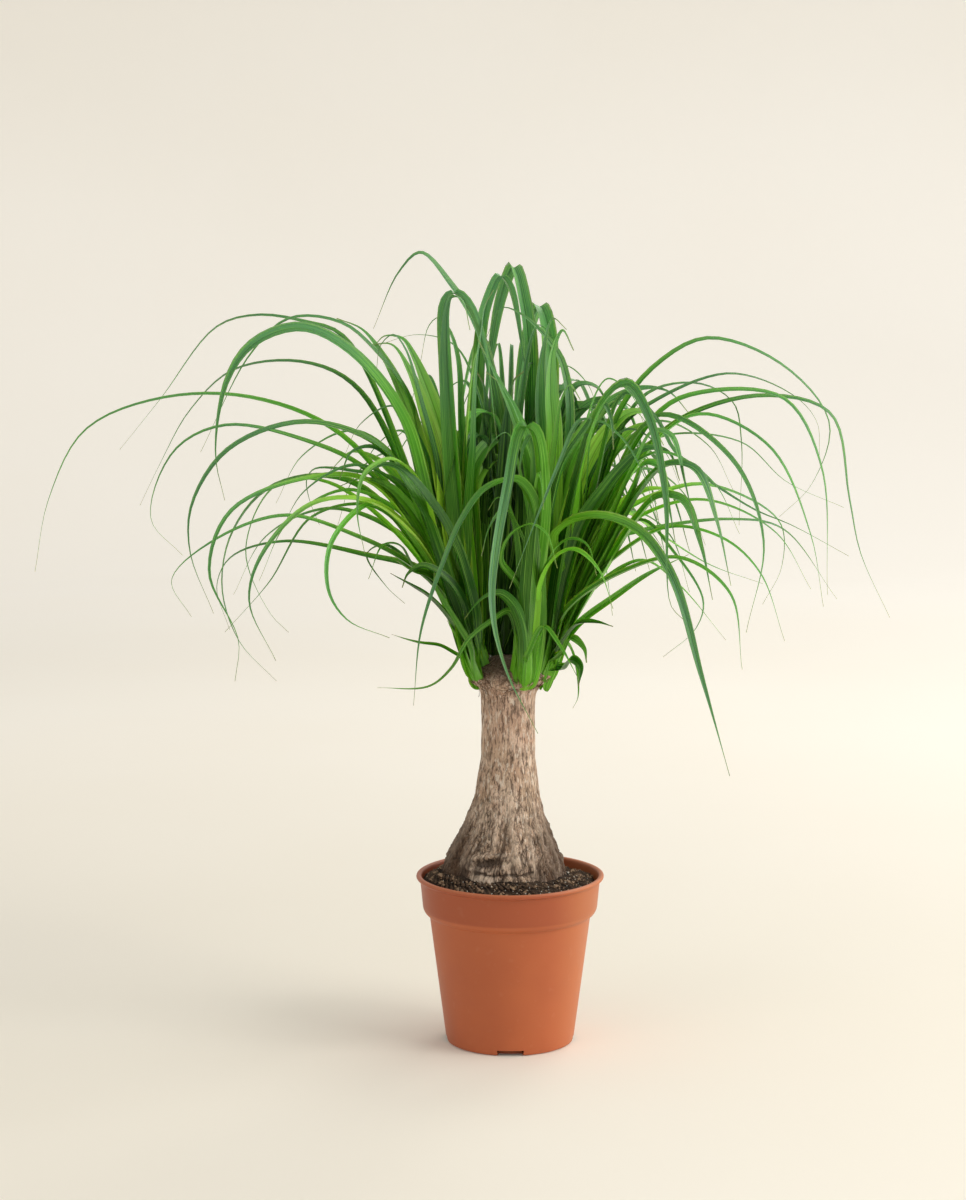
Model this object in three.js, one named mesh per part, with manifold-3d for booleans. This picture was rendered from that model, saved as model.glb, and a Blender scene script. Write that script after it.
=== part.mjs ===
// Potted ponytail palm: a woody trunk with a swollen foot, in a plastic nursery pot filled with soil.
// Four shoots of long strap leaves grow from the knobbly collar at the top of the trunk.
// Millimetres, +Z up, the front faces -Y, and the origin is the middle of the pot's foot.

import * as THREE from "three";
import { mergeVertices } from "three/addons/utils/BufferGeometryUtils.js";
import Module from "manifold-3d";

const wasm = await Module();
wasm.setup();

// Driving dimensions

const FIT_GAP = 0.3;

const POT = {
  height: 154,
  rimRadius: 85,
  footRadius: 58,
  wall: 1.8,
  floor: 2,
  bandTop: 81.5,
  bandFoot: 79,
  bandHeight: 31,
  stepDepth: 6,
  taperTop: 73,
  sides: 44,
};

const SLOT = { count: 4, widthBelow: 25, widthAbove: 22.5, height: 5.2, inner: 49, depth: 20 };

const SOIL = { left: 148, right: 144, mound: 13, bump: 1.3, clods: 6 };

const TRUNK = { foot: 84, top: 353, sides: 36, ridges: [5, 8, 13] };

// Height, middle in x and half width of the trunk, from the buried foot up to the collar and the stub.
const TRUNK_FORM = [
  [84, -5, 30],
  [94, -5, 45],
  [112, -6, 55],
  [134, -6.5, 59.5],
  [142, -6.5, 59],
  [154, -6, 56],
  [166, -5.5, 52.5],
  [174, -5.5, 49.5],
  [182, -5, 46],
  [190, -4.5, 42],
  [198, -4, 38.5],
  [206, -3.5, 35],
  [216, -3, 31.5],
  [228, -2.5, 29],
  [244, -2.5, 27],
  [262, -2, 24.5],
  [290, -2, 24],
  [318, -2, 24.5],
  [326, -1.5, 26.5],
  [331, -1, 32.5],
  [337, -0.5, 34.5],
  [343, -0.5, 31.5],
  [348, -0.5, 24],
  [352, -1, 15],
];

const CORE_FORM = [
  [0, 6],
  [0.03, 9.5],
  [0.12, 12.5],
  [0.35, 15],
  [0.62, 13.5],
  [0.85, 9],
  [1, 3],
];
const CORE_SIDES = 9;

const LEAF = {
  keel: 0.13,
  thinnest: 0.9,
  stationEvery: 46,
  fewest: 5,
  most: 14,
  rollNear: 55,
  rollFar: 15,
  rollStart: 0.2,
};

// Each leaf by hand: its widest width, the places it passes from the shoot to its tip and, where it isn't
// turned like its neighbours, how many degrees its face is rolled near the root and at the tip.
const leaf = (width, places, roll) => ({ width, places, roll });

const LEFT_LEAVES = [
  leaf(18, [[-52, -4, 545], [-57, 0, 609], [-58, 4, 668], [-50, 6, 677], [-39, 8, 669], [-26, 12, 640],
    [-12, 20, 545]], [0, 0]),
  leaf(12, [[-43, 4, 494], [-44, 10, 566], [-47, 16, 620], [-56, 24, 646], [-64, 30, 654],
    [-73, 36, 646], [-81, 44, 611]], [-40, -20]),
  leaf(14, [[-65, -8, 521], [-80, -12, 585], [-93, -14, 629], [-103, -16, 641], [-114, -18, 632],
    [-118, -22, 608]], [-60, -30]),
  leaf(9, [[-150, -10, 552], [-227, -12, 585], [-308, -14, 585], [-375, -16, 557], [-408, -18, 496],
    [-421, -20, 432]]),
  leaf(9, [[-148, 12, 637], [-185, 18, 651], [-227, 26, 656], [-263, 34, 645], [-316, 50, 579],
    [-354, 60, 533]]),
  leaf(18, [[-96, -34, 570], [-141, -48, 629], [-182, -56, 649], [-222, -64, 636], [-244, -72, 605],
    [-254, -83, 542], [-246, -90, 503]], [-60, -30]),
  leaf(10, [[-89, 2, 582], [-120, -6, 627], [-149, -10, 651], [-194, -15, 655], [-229, -20, 623],
    [-272, -30, 539]]),
  leaf(9, [[-136, 24, 590], [-183, 37, 613], [-249, 53, 606], [-291, 66, 568], [-319, 79, 520],
    [-340, 90, 479]]),
  leaf(9, [[-127, -10, 520], [-180, -22, 548], [-250, -37, 563], [-293, -48, 542], [-313, -61, 484],
    [-285, -70, 453]]),
  leaf(12, [[-111, -36, 541], [-178, -54, 567], [-243, -71, 546], [-274, -85, 501], [-276, -95, 460],
    [-255, -110, 408]]),
  leaf(10, [[-124, -15, 511], [-174, -35, 517], [-242, -73, 492], [-259, -100, 443], [-232, -133, 388],
    [-234, -150, 356]]),
  leaf(9, [[-143, 2, 510], [-211, 15, 505], [-249, 27, 464], [-261, 38, 411], [-247, 49, 359],
    [-214, 60, 320]]),
  leaf(6, [[-161, 14, 507], [-211, 32, 503], [-241, 61, 441], [-221, 90, 378], [-205, 100, 359]]),
  leaf(11, [[-89, -25, 470], [-123, -44, 497], [-173, -67, 497], [-214, -95, 457], [-224, -114, 419],
    [-200, -140, 372]]),
  leaf(7, [[-121, -8, 488], [-175, -22, 481], [-212, -42, 426], [-250, -60, 384]]),
  leaf(8, [[-89, -18, 438], [-136, -33, 465], [-197, -56, 486], [-257, -79, 467], [-292, -96, 435],
    [-274, -110, 405]]),
  leaf(9, [[-81, -2, 431], [-125, 13, 441], [-204, 43, 451], [-255, 63, 434], [-269, 74, 406],
    [-259, 90, 363]]),
  leaf(13, [[-80, -45, 514], [-103, -63, 536], [-126, -78, 525], [-132, -98, 495], [-125, -120, 461]]),
  leaf(10, [[-99, 2, 508], [-141, 23, 517], [-177, 41, 517], [-184, 47, 507], [-182, 57, 487],
    [-174, 70, 463]]),
  leaf(9, [[-120, -36, 494], [-155, -63, 466], [-158, -88, 426], [-141, -106, 402], [-104, -130, 390]]),
  leaf(9, [[-86, -22, 437], [-97, -40, 458], [-112, -60, 460], [-123, -90, 435]]),
  leaf(6, [[-86, 2, 434], [-112, 18, 451], [-129, 28, 442], [-112, 48, 409], [-96, 60, 392]]),
  leaf(13, [[-73, -18, 428], [-85, -28, 433], [-100, -45, 445]]),
  leaf(11, [[-70, -32, 410], [-85, -44, 422], [-105, -60, 436]]),
  leaf(6, [[-63, -22, 366], [-81, -30, 370], [-105, -40, 379]]),
];

const FRONT_LEAVES = [
  leaf(18, [[18, -62, 500], [3, -69, 519], [-21, -79, 513], [-42, -93, 487], [-57, -108, 454],
    [-77, -134, 396], [-83, -160, 337]], [0, 20]),
  leaf(18, [[27, -64, 505], [19, -78, 563], [8, -83, 566], [-4, -94, 517], [-17, -119, 422],
    [-6, -134, 366], [22, -150, 311]], [0, 0]),
  leaf(8, [[44, -50, 530], [68, -56, 570], [58, -61, 568], [41, -75, 533], [21, -95, 487],
    [-2, -120, 431]], [20, 10]),
  leaf(10, [[-8, -62, 448], [0, -74, 472], [16, -84, 482], [30, -93, 475], [39, -110, 447]], [0, 30]),
  leaf(9, [[30, -56, 442], [42, -64, 462], [54, -72, 468], [66, -82, 463], [73, -100, 439]], [20, 40]),
  leaf(11, [[16, -69, 368], [28, -79, 392], [43, -88, 375], [58, -100, 349]], [0, 10]),
  leaf(16, [[-3, -48, 400], [-17, -54, 393], [-37, -62, 378], [-52, -70, 354], [-72, -77, 339],
    [-116, -90, 340]], [10, 30]),
];

const RIGHT_LEAVES = [
  leaf(15, [[50, 12, 500], [53, 20, 573], [50, 28, 600], [43, 37, 621], [14, 53, 653], [-8, 60, 661],
    [-22, 70, 632]], [-50, -20]),
  leaf(10, [[97, 5, 571], [131, 9, 614], [175, 13, 636], [242, 18, 612], [285, 23, 560], [270, 27, 504],
    [242, 30, 475]]),
  leaf(9, [[97, 8, 555], [125, 17, 578], [197, 43, 603], [257, 63, 582], [280, 74, 556], [283, 80, 526]]),
  leaf(10, [[130, -12, 571], [163, -17, 589], [238, -29, 586], [271, -41, 527], [276, -60, 417]]),
  leaf(10, [[110, 0, 525], [153, 0, 566], [225, 0, 586], [283, 0, 570], [301, 0, 495], [312, 0, 446],
    [339, 0, 388]]),
  leaf(9, [[140, -22, 560], [171, -29, 572], [226, -48, 544], [259, -71, 472], [269, -90, 411]]),
  leaf(10, [[129, -22, 570], [191, -52, 536], [217, -85, 468], [200, -120, 393]], [45, 30]),
  leaf(9, [[100, -20, 590], [127, -26, 568], [145, -32, 538], [209, -45, 492], [245, -51, 477],
    [294, -60, 451]]),
  leaf(5, [[115, 10, 537], [144, 21, 550], [209, 42, 541], [251, 60, 504], [306, 80, 478]]),
  leaf(6, [[115, 14, 582], [165, 36, 595], [201, 55, 577], [211, 73, 539], [213, 110, 458]]),
  leaf(8, [[79, -10, 468], [131, 7, 498], [177, 19, 505], [243, 38, 470], [247, 50, 427],
    [231, 60, 391]]),
  leaf(8, [[80, 2, 453], [115, 16, 463], [200, 53, 470], [250, 74, 459], [305, 110, 389]]),
  leaf(8, [[79, -18, 433], [136, -44, 474], [184, -65, 467], [215, -84, 439], [234, -110, 384]]),
  leaf(16, [[60, -32, 520], [82, -59, 589], [100, -70, 602], [118, -82, 575], [131, -106, 512],
    [134, -144, 420], [144, -150, 409]], [50, 60]),
  leaf(18, [[40, -44, 470], [68, -71, 487], [105, -94, 480], [135, -124, 444], [158, -177, 365],
    [178, -230, 291]], [40, 20]),
  leaf(10, [[50, -30, 400], [91, -52, 433], [146, -74, 451], [188, -94, 423], [197, -120, 361]]),
  leaf(10, [[60, -8, 383], [94, 9, 406], [125, 33, 423], [163, 60, 437]], [60, 60]),
  leaf(7, [[80, 12, 492], [103, 22, 481], [181, 65, 428], [234, 90, 406]]),
  leaf(7, [[115, -12, 477], [142, -22, 452], [169, -39, 409], [162, -48, 385], [133, -60, 362]]),
  leaf(6, [[116, 10, 438], [151, 29, 415], [198, 60, 358]]),
  leaf(6, [[75, -24, 565], [95, -36, 554], [113, -54, 526], [126, -80, 485]]),
  leaf(8, [[46, -24, 371], [59, -36, 388], [76, -49, 391], [89, -60, 389]]),
  leaf(9, [[46, -34, 363], [53, -42, 376], [64, -51, 368], [66, -60, 357]]),
  leaf(9, [[46, -12, 344], [54, -36, 356], [61, -48, 351], [59, -60, 336]]),
];

const BACK_LEAVES = [
  leaf(17, [[-8, 44, 545], [-20, 46, 612], [-34, 44, 652], [-53, 40, 682], [-80, 34, 711],
    [-100, 30, 693], [-122, 24, 644]], [-70, -30]),
  leaf(17, [[-28, 42, 530], [-26, 48, 640], [-20, 52, 668], [-9, 57, 690], [0, 64, 680], [13, 80, 612],
    [21, 98, 567]], [20, 0]),
  leaf(19, [[14, 60, 500], [18, 88, 623], [14, 97, 660], [4, 104, 697], [-8, 118, 668], [-20, 146, 590],
    [-26, 170, 510]], [20, 20]),
  leaf(20, [[26, 50, 500], [37, 72, 606], [33, 104, 652], [27, 118, 661], [16, 136, 630], [6, 164, 555],
    [2, 186, 480]], [10, 10]),
  leaf(6, [[-30, 34, 590], [-50, 46, 628], [-83, 60, 637], [-122, 74, 626]], [-60, -30]),
  leaf(11, [[-14, 60, 520], [-16, 96, 600], [-26, 140, 630], [-40, 190, 590], [-52, 220, 500]], [0, 0]),
  leaf(10, [[22, 62, 500], [40, 100, 570], [62, 150, 590], [84, 205, 540], [96, 240, 440]], [0, 10]),
];

// Each shoot: the foot and head of its green core, its leaves by hand, and the filling leaves with the
// side they face (degrees, 0 is +X and 90 is the back), how far round they spread, how far out they
// reach, how high they go over and how far their tips drop.
const SHOOTS = [
  { name: "shoot_left", foot: [-28, -5, 329], head: [-63, -9, 470], leaves: LEFT_LEAVES,
    fill: { count: 8, faces: 166, spread: 44, reach: [60, 230], over: [610, 470], drops: [40, 120] } },
  { name: "shoot_right", foot: [27, 1, 327], head: [58, -6, 465], leaves: RIGHT_LEAVES,
    fill: { count: 9, faces: 16, spread: 44, reach: [60, 230], over: [610, 470], drops: [40, 120] } },
  { name: "shoot_front", foot: [11, -23, 327], head: [24, -46, 470], leaves: FRONT_LEAVES,
    fill: { count: 4, faces: -95, spread: 50, reach: [30, 130], over: [570, 470], drops: [20, 60] } },
  { name: "shoot_back", foot: [-4, 23, 333], head: [0, 48, 480], leaves: BACK_LEAVES,
    fill: { count: 16, faces: 90, spread: 46, reach: [50, 290], over: [650, 480], drops: [40, 120] } },
];

const MATERIALS = {
  pot: { color: 0xa95a3b, roughness: 0.5, metalness: 0 },
  soil: { color: 0x33261d, roughness: 0.95, metalness: 0 },
  trunk: { color: 0x8d745e, roughness: 0.9, metalness: 0 },
  leaf: { color: 0x3f7d2c, roughness: 0.5, metalness: 0 },
};

// Small helpers

const vector = (p) => new THREE.Vector3(...p);
const blend = (a, b, t) => a + (b - a) * t;
const radians = THREE.MathUtils.degToRad;
const GOLDEN = (Math.sqrt(5) - 1) / 2;

// A number from 0 to 1 that is always the same for the same k and salt.
const draw = (k, salt) => (k * GOLDEN + salt * 0.7549 + k * salt * 0.1197) % 1;

function solidFrom(points, triangles) {
  const mesh = new wasm.Mesh({
    numProp: 3,
    vertProperties: Float32Array.from(points.flat()),
    triVerts: Uint32Array.from(triangles.flat()),
  });
  return new wasm.Manifold(mesh);
}

// A closed three.js geometry as a solid that can be joined and cut.
function solidOf(geometry) {
  geometry.deleteAttribute("normal");
  geometry.deleteAttribute("uv");
  const merged = mergeVertices(geometry);
  const mesh = new wasm.Mesh({
    numProp: 3,
    vertProperties: Float32Array.from(merged.getAttribute("position").array),
    triVerts: Uint32Array.from(merged.getIndex().array),
  });
  return new wasm.Manifold(mesh);
}

// Closed tube through rings of equal length, with a point at each end. Where mirrored, the second half
// of each ring is split the other way round, so that a thin twisted leaf has like faces on both sides.
function skin(rings, start, end, mirrored = false) {
  const n = rings[0].length;
  const points = [...rings.flat(), start, end];
  const first = points.length - 2;
  const last = points.length - 1;
  const triangles = [];
  for (let j = 0; j < n; j++) {
    const next = (j + 1) % n;
    const turned = mirrored && j >= n / 2;
    triangles.push([first, next, j]);
    for (let i = 0; i + 1 < rings.length; i++) {
      const low = i * n;
      const high = low + n;
      const [a, b] = turned ? [high + j, low + next] : [high + next, low + j];
      triangles.push([low + j, low + next, a]);
      triangles.push([high + j, b, high + next]);
    }
    const top = (rings.length - 1) * n;
    triangles.push([top + j, top + next, last]);
  }
  return solidFrom(points, triangles);
}

// Points round the Z axis, whose height and radius may change with the angle.
function ring(sides, radiusAt, heightAt) {
  return Array.from({ length: sides }, (_, j) => {
    const angle = (2 * Math.PI * j) / sides;
    const z = heightAt(angle);
    const radius = radiusAt(angle, z);
    return [radius * Math.cos(angle), radius * Math.sin(angle), z];
  });
}

// A profile that starts and ends on the axis, turned round it.
function lathe(profile, sides) {
  const rings = profile.slice(1, -1).map(([radius, z]) => ring(sides, () => radius, () => z));
  return skin(rings, [0, 0, profile[0][1]], [0, 0, profile.at(-1)[1]]);
}

// Fusing and cutting can seal off small hollows and leave loose scraps: only the biggest body stays.
function biggest(solid) {
  const bodies = solid.decompose();
  bodies.sort((a, b) => b.volume() - a.volume());
  return bodies[0];
}

const fuse = (solids) => biggest(wasm.Manifold.union(solids));

function meshOf(name, solid, material) {
  const mesh = solid.getMesh();
  const positions = new Float32Array(mesh.numVert * 3);
  for (let i = 0; i < mesh.numVert; i++) {
    const from = i * mesh.numProp;
    positions.set(mesh.vertProperties.subarray(from, from + 3), i * 3);
  }
  const geometry = new THREE.BufferGeometry();
  geometry.setAttribute("position", new THREE.BufferAttribute(positions, 3));
  geometry.setIndex(new THREE.BufferAttribute(mesh.triVerts, 1));
  const flat = geometry.toNonIndexed();
  flat.computeVertexNormals();
  const made = new THREE.Mesh(flat, new THREE.MeshStandardMaterial({ name, ...material }));
  made.name = name;
  return made;
}

// Pot

function potSolid() {
  const { height, rimRadius, footRadius, wall, floor } = POT;
  const stepTop = height - POT.bandHeight;
  const stepFoot = stepTop - POT.stepDepth;
  const outside = [
    [0, 0],
    [footRadius - 2.5, 0],
    [footRadius - 0.6, 0.9],
    [footRadius + 0.2, 3.2],
    [POT.taperTop, stepFoot],
    [POT.taperTop + 3.5, stepFoot + 1.6],
    [POT.bandFoot, stepTop],
    [POT.bandTop, height - 4.6],
    [rimRadius - 1, height - 3.8],
    [rimRadius, height - 2.2],
    [rimRadius - 0.5, height - 0.6],
    [rimRadius - 2, height],
  ];
  const inside = [
    [POT.bandTop - wall + 0.6, height - 0.7],
    [POT.bandTop - wall, height - 3],
    [POT.bandFoot - wall, stepTop],
    [POT.taperTop - wall + 1.2, stepFoot],
    [POT.taperTop - wall, stepFoot - 2],
    [footRadius - wall, floor + 3],
    [footRadius - wall - 2.5, floor],
    [0, floor],
  ];
  let pot = lathe([...outside, ...inside], POT.sides);
  for (let i = 0; i < SLOT.count; i++) {
    const half = [SLOT.widthBelow / 2, SLOT.widthAbove / 2];
    const section = new THREE.Shape([
      new THREE.Vector2(-half[0], -1),
      new THREE.Vector2(half[0], -1),
      new THREE.Vector2(half[1], SLOT.height),
      new THREE.Vector2(-half[1], SLOT.height),
    ]);
    const bar = new THREE.ExtrudeGeometry(section, { depth: SLOT.depth, bevelEnabled: false });
    bar.rotateX(Math.PI / 2).translate(0, -SLOT.inner, 0).rotateZ((2 * Math.PI * i) / SLOT.count);
    pot = pot.subtract(solidOf(bar));
  }
  return pot;
}

// Inner radius of the pot at a height.
function potInner(z) {
  const stepTop = POT.height - POT.bandHeight;
  const stepFoot = stepTop - POT.stepDepth;
  if (z > stepTop) {
    return blend(POT.bandFoot, POT.bandTop, (z - stepTop) / (POT.height - 4.6 - stepTop)) - POT.wall;
  }
  if (z > stepFoot - 2) {
    return POT.taperTop - POT.wall;
  }
  return blend(POT.footRadius, POT.taperTop, (z - POT.floor - 3) / (stepFoot - 5 - POT.floor)) - POT.wall;
}

// Trunk

// Buttress ridges: waves round the trunk that are deep at the foot, drift sideways and fade upwards.
function ridge(angle, z) {
  const fade = THREE.MathUtils.smoothstep(250 - z, 0, 110) * THREE.MathUtils.smoothstep(z, 96, 150);
  const [few, some, many] = TRUNK.ridges;
  const waves =
    0.5 * Math.cos(few * angle + 0.8) +
    0.35 * Math.cos(some * angle - 0.012 * z) +
    0.25 * Math.cos(many * angle + 0.5 + 0.02 * z);
  return (0.012 + 0.05 * fade) * waves;
}

// Burls: lumps round the collar, where shoots sit or once sat.
function burl(angle, z) {
  const band = Math.exp(-(((z - 334) / 9) ** 2));
  return 0.1 * band * (0.6 * Math.cos(7 * angle + 0.6) + 0.4 * Math.cos(11 * angle - 1 + 0.1 * z));
}

function trunkRings(grow) {
  return TRUNK_FORM.map(([z, middle, radius]) => {
    const bark = (angle) => radius * (1 + ridge(angle, z) + burl(angle, z)) + grow;
    return ring(TRUNK.sides, bark, () => z).map(([x, y]) => [middle + x, y, z]);
  });
}

// One pale root that runs down the front of the foot and into the soil.
function surfaceRoot(grow) {
  const path = [
    [-20, -46, 174, 4],
    [-18, -53, 163, 5.5],
    [-16, -59, 152, 6.5],
    [-15, -61, 138, 4],
  ];
  const rings = path.map(([x, y, z, radius]) => {
    return ring(8, () => radius + grow, () => z).map(([dx, dy]) => [x + dx, y + dy, z]);
  });
  return skin(rings.reverse(), [-15, -61, 136 - grow], [-20, -45, 176 + grow]);
}

function trunkSolid(grow = 0) {
  const rings = trunkRings(grow);
  const top = TRUNK_FORM.at(-1);
  const body = skin(rings, [-5, 0, TRUNK.foot - 2 - grow], [top[1], 0, TRUNK.top + grow]);
  return wasm.Manifold.union([body, surfaceRoot(grow)]);
}

// Soil

function soilSolid() {
  const foot = POT.floor + FIT_GAP;
  const stepFoot = POT.height - POT.bandHeight - POT.stepDepth;
  const side = [
    [potInner(foot + 3) - 3.5, foot],
    [potInner(foot + 3) - 0.5, foot + 3],
    [potInner(60) - 0.5, 60],
    [potInner(stepFoot - 3) - 0.5, stepFoot - 3],
    [potInner(stepFoot - 3) + 0.4, stepFoot + 1],
    [potInner(stepFoot + 8) - 0.5, stepFoot + 8],
  ];
  const wallRings = side.map(([radius, z]) => ring(POT.sides, () => radius, () => z));
  // The top slopes from the left to the right, is lumpy and rises towards the trunk, most of all in front.
  const mound = (angle) => SOIL.mound * (0.35 + 0.65 * (1 - Math.sin(angle)) / 2);
  const topRings = [0, 8, 22].map((inset, row) => {
    return ring(
      POT.sides,
      (angle, z) => potInner(z) - FIT_GAP * 1.5 - inset,
      (angle) => {
        const across = (1 + Math.cos(angle)) / 2;
        const lump = Math.sin(7 * angle + 2 * row) + Math.sin(12 * angle - 3 * row);
        const rise = mound(angle) * (inset / 22) ** 0.7;
        return blend(SOIL.left, SOIL.right, across) + rise + SOIL.bump * lump * row * 0.5;
      },
    );
  });
  const bulk = skin([...wallRings, ...topRings], [0, 0, foot], [0, 0, SOIL.right + SOIL.mound]);
  const clods = Array.from({ length: SOIL.clods }, (_, k) => {
    const angle = 2 * Math.PI * draw(k, 1);
    const radius = blend(61, 74, draw(k, 2));
    const across = (1 + Math.cos(angle)) / 2;
    const size = blend(2.2, 4.2, draw(k, 3));
    const rise = mound(angle) * (1 - (radius - 58) / 22) ** 0.7;
    const z = blend(SOIL.left, SOIL.right, across) + rise + 0.2 * size;
    const clod = new THREE.IcosahedronGeometry(size);
    return solidOf(clod.translate(radius * Math.cos(angle), radius * Math.sin(angle), z));
  });
  return biggest(wasm.Manifold.union([bulk, ...clods]).subtract(trunkSolid(FIT_GAP)));
}

// Shoots

function coreRadius(t) {
  const i = CORE_FORM.findIndex(([end]) => end >= t);
  const [below, above] = [CORE_FORM[Math.max(i - 1, 0)], CORE_FORM[Math.max(i, 1)]];
  return blend(below[1], above[1], (t - below[0]) / (above[0] - below[0]));
}

function coreSolid(shoot, grow = 0) {
  const foot = vector(shoot.foot);
  const axis = vector(shoot.head).sub(foot);
  const along = axis.clone().normalize();
  const right = new THREE.Vector3(1, 0, 0).addScaledVector(along, -along.x).normalize();
  const back = along.clone().cross(right);
  const rings = CORE_FORM.map(([t, radius]) => {
    return Array.from({ length: CORE_SIDES }, (_, j) => {
      const angle = (2 * Math.PI * j) / CORE_SIDES;
      return foot.clone().addScaledVector(axis, t)
        .addScaledVector(right, (radius + grow) * Math.cos(angle))
        .addScaledVector(back, (radius + grow) * Math.sin(angle))
        .toArray();
    });
  });
  const low = foot.clone().addScaledVector(along, -2 - grow).toArray();
  const high = vector(shoot.head).addScaledVector(along, 3 + grow).toArray();
  return skin(rings, low, high);
}

// A leaf's middle line: it leaves the core near its axis, goes by its places and ends at its tip.
function leafLine(shoot, leaf, turn) {
  const foot = vector(shoot.foot);
  const axis = vector(shoot.head).sub(foot);
  const swing = (p) => vector(p).sub(foot).applyAxisAngle(new THREE.Vector3(0, 0, 1), turn).add(foot);
  const places = leaf.places.map(swing);
  const middle = foot.clone().addScaledVector(axis, 0.5);
  const out = places[0].clone().sub(middle);
  const steep = Math.atan2(out.z, Math.hypot(out.x, out.y)) / (Math.PI / 2);
  const height = 0.12 + 0.7 * Math.max(steep, 0);
  const aside = new THREE.Vector3(out.x, out.y, 0).setLength(0.5 * coreRadius(height));
  const root = foot.clone().addScaledVector(axis, height).add(aside);
  const first = places[0].clone().sub(root);
  const leave = first.clone().multiplyScalar(0.6);
  leave.addScaledVector(axis.clone().normalize(), 0.4 * first.length());
  leave.multiplyScalar(0.36).add(root);
  return new THREE.CatmullRomCurve3([root, leave, ...places], false, "centripetal");
}

// Width along the leaf: full near the root, then ever narrower to a thread.
const leafWidth = (width, t) => Math.max(width * (1 - 0.86 * t ** 0.9), 1.4);

function leafSolid(shoot, leaf, turn = 0) {
  const line = leafLine(shoot, leaf, turn);
  line.arcLengthDivisions = 120;
  const stations = THREE.MathUtils.clamp(
    Math.round(line.getLength() / LEAF.stationEvery), LEAF.fewest, LEAF.most);
  const root = line.getPoint(0);
  const tip = line.getPoint(1);
  const heading = new THREE.Vector3(tip.x - root.x, tip.y - root.y, 0).normalize();
  const level = new THREE.Vector3(0, 0, 1).cross(heading);
  const lit = Math.sign(heading.x) || 1;
  const [near, far] = leaf.roll ?? [lit * LEAF.rollNear, lit * LEAF.rollFar];
  const rings = [];
  for (let i = 0; i < stations; i++) {
    const t = i / stations;
    const at = line.getPointAt(t);
    const along = line.getTangentAt(t);
    const flat = level.clone().addScaledVector(along, -level.dot(along)).normalize();
    const across = flat.applyAxisAngle(along, radians(blend(near, far, t) * Math.min(t / LEAF.rollStart, 1)));
    const up = along.clone().cross(across);
    const half = leafWidth(leaf.width, t) / 2;
    const keel = Math.max(LEAF.keel * 2 * half, LEAF.thinnest);
    rings.push([
      at.clone().addScaledVector(across, half).addScaledVector(up, keel * 0.7).toArray(),
      at.clone().addScaledVector(up, keel * 0.3).toArray(),
      at.clone().addScaledVector(across, -half).addScaledVector(up, keel * 0.7).toArray(),
      at.clone().addScaledVector(up, -keel * 0.7).toArray(),
    ]);
  }
  return skin(rings, root.toArray(), tip.toArray(), true);
}

// Filling leaves, by a rule: the young ones stand up in the middle, and the older, the lower and longer.
function fillingLeaf(shoot, k) {
  const { count, faces, spread, reach, over, drops } = shoot.fill;
  const age = (k + 0.5) / count;
  const heading = radians(faces + spread * (2 * draw(k, 0) - 1));
  const far = blend(reach[0], reach[1], age ** 0.8) * blend(0.8, 1.1, draw(k, 1));
  const high = blend(over[0], over[1], age) + blend(-25, 25, draw(k, 2));
  const middle = vector(shoot.foot).lerp(vector(shoot.head), 0.6);
  const place = (share, z) => {
    return [middle.x + share * far * Math.cos(heading), middle.y + share * far * Math.sin(heading), z];
  };
  const drop = blend(drops[0], drops[1], age) * blend(0.7, 1.2, draw(k, 3));
  const rise = high - middle.z;
  const places = [
    place(0.25, middle.z + 0.72 * rise),
    place(0.55, high),
    place(0.85, high - 0.35 * drop),
    place(1, high - drop),
  ];
  return leaf(blend(13, 8, draw(k, 4)), places);
}

// A leaf that would cross another shoot is swung a little round its own shoot until it passes clear, and
// one that finds no clear way isn't grown.
const SWINGS = [0, 1, -1, 2, -2, 3, -3, 5, -5, 7, -7, 10, -10].map(radians);

function meet(a, b) {
  const [one, other] = [a.boundingBox(), b.boundingBox()];
  const near = [0, 1, 2].every((i) => one.min[i] < other.max[i] && other.min[i] < one.max[i]);
  return near && a.intersect(b).volume() > 0;
}

function growShoots(trunk) {
  const grown = SHOOTS.map((shoot) => [coreSolid(shoot, FIT_GAP)]);
  SHOOTS.forEach((shoot, own) => {
    const others = [trunk, ...grown.filter((_, i) => i !== own).flat()];
    const filling = Array.from({ length: shoot.fill.count }, (_, k) => fillingLeaf(shoot, k));
    for (const each of [...shoot.leaves, ...filling]) {
      const ways = SWINGS.map((swing) => leafSolid(shoot, each, swing));
      const clear = ways.find((solid) => !others.some((other) => meet(solid, other)));
      if (clear) grown[own].push(clear);
    }
  });
  return grown.map(([, ...leaves], i) => fuse([coreSolid(SHOOTS[i]), ...leaves]));
}

// Assembly

const sockets = wasm.Manifold.union(SHOOTS.map((shoot) => coreSolid(shoot, FIT_GAP)));
const trunk = biggest(trunkSolid().subtract(sockets));
const shoots = growShoots(trunk);

const part = new THREE.Group();
part.name = "potted_ponytail_palm";
part.add(meshOf("pot", potSolid(), MATERIALS.pot));
part.add(meshOf("soil", soilSolid(), MATERIALS.soil));
part.add(meshOf("trunk", trunk, MATERIALS.trunk));
SHOOTS.forEach((shoot, i) => part.add(meshOf(shoot.name, shoots[i], MATERIALS.leaf)));

export default part;
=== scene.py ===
# %% [markdown]
# # Potted ponytail palm
# A ponytail palm stores water in the swollen foot of its trunk, and each of its shoots is a fountain of long
# narrow leaves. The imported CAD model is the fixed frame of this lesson: it says where the pot, the soil, the
# trunk and the four shoots are. Each of them gets a finer piece here that keeps its form and its place, and
# all lengths in the helpers are millimetres until a mesh is made.

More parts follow.
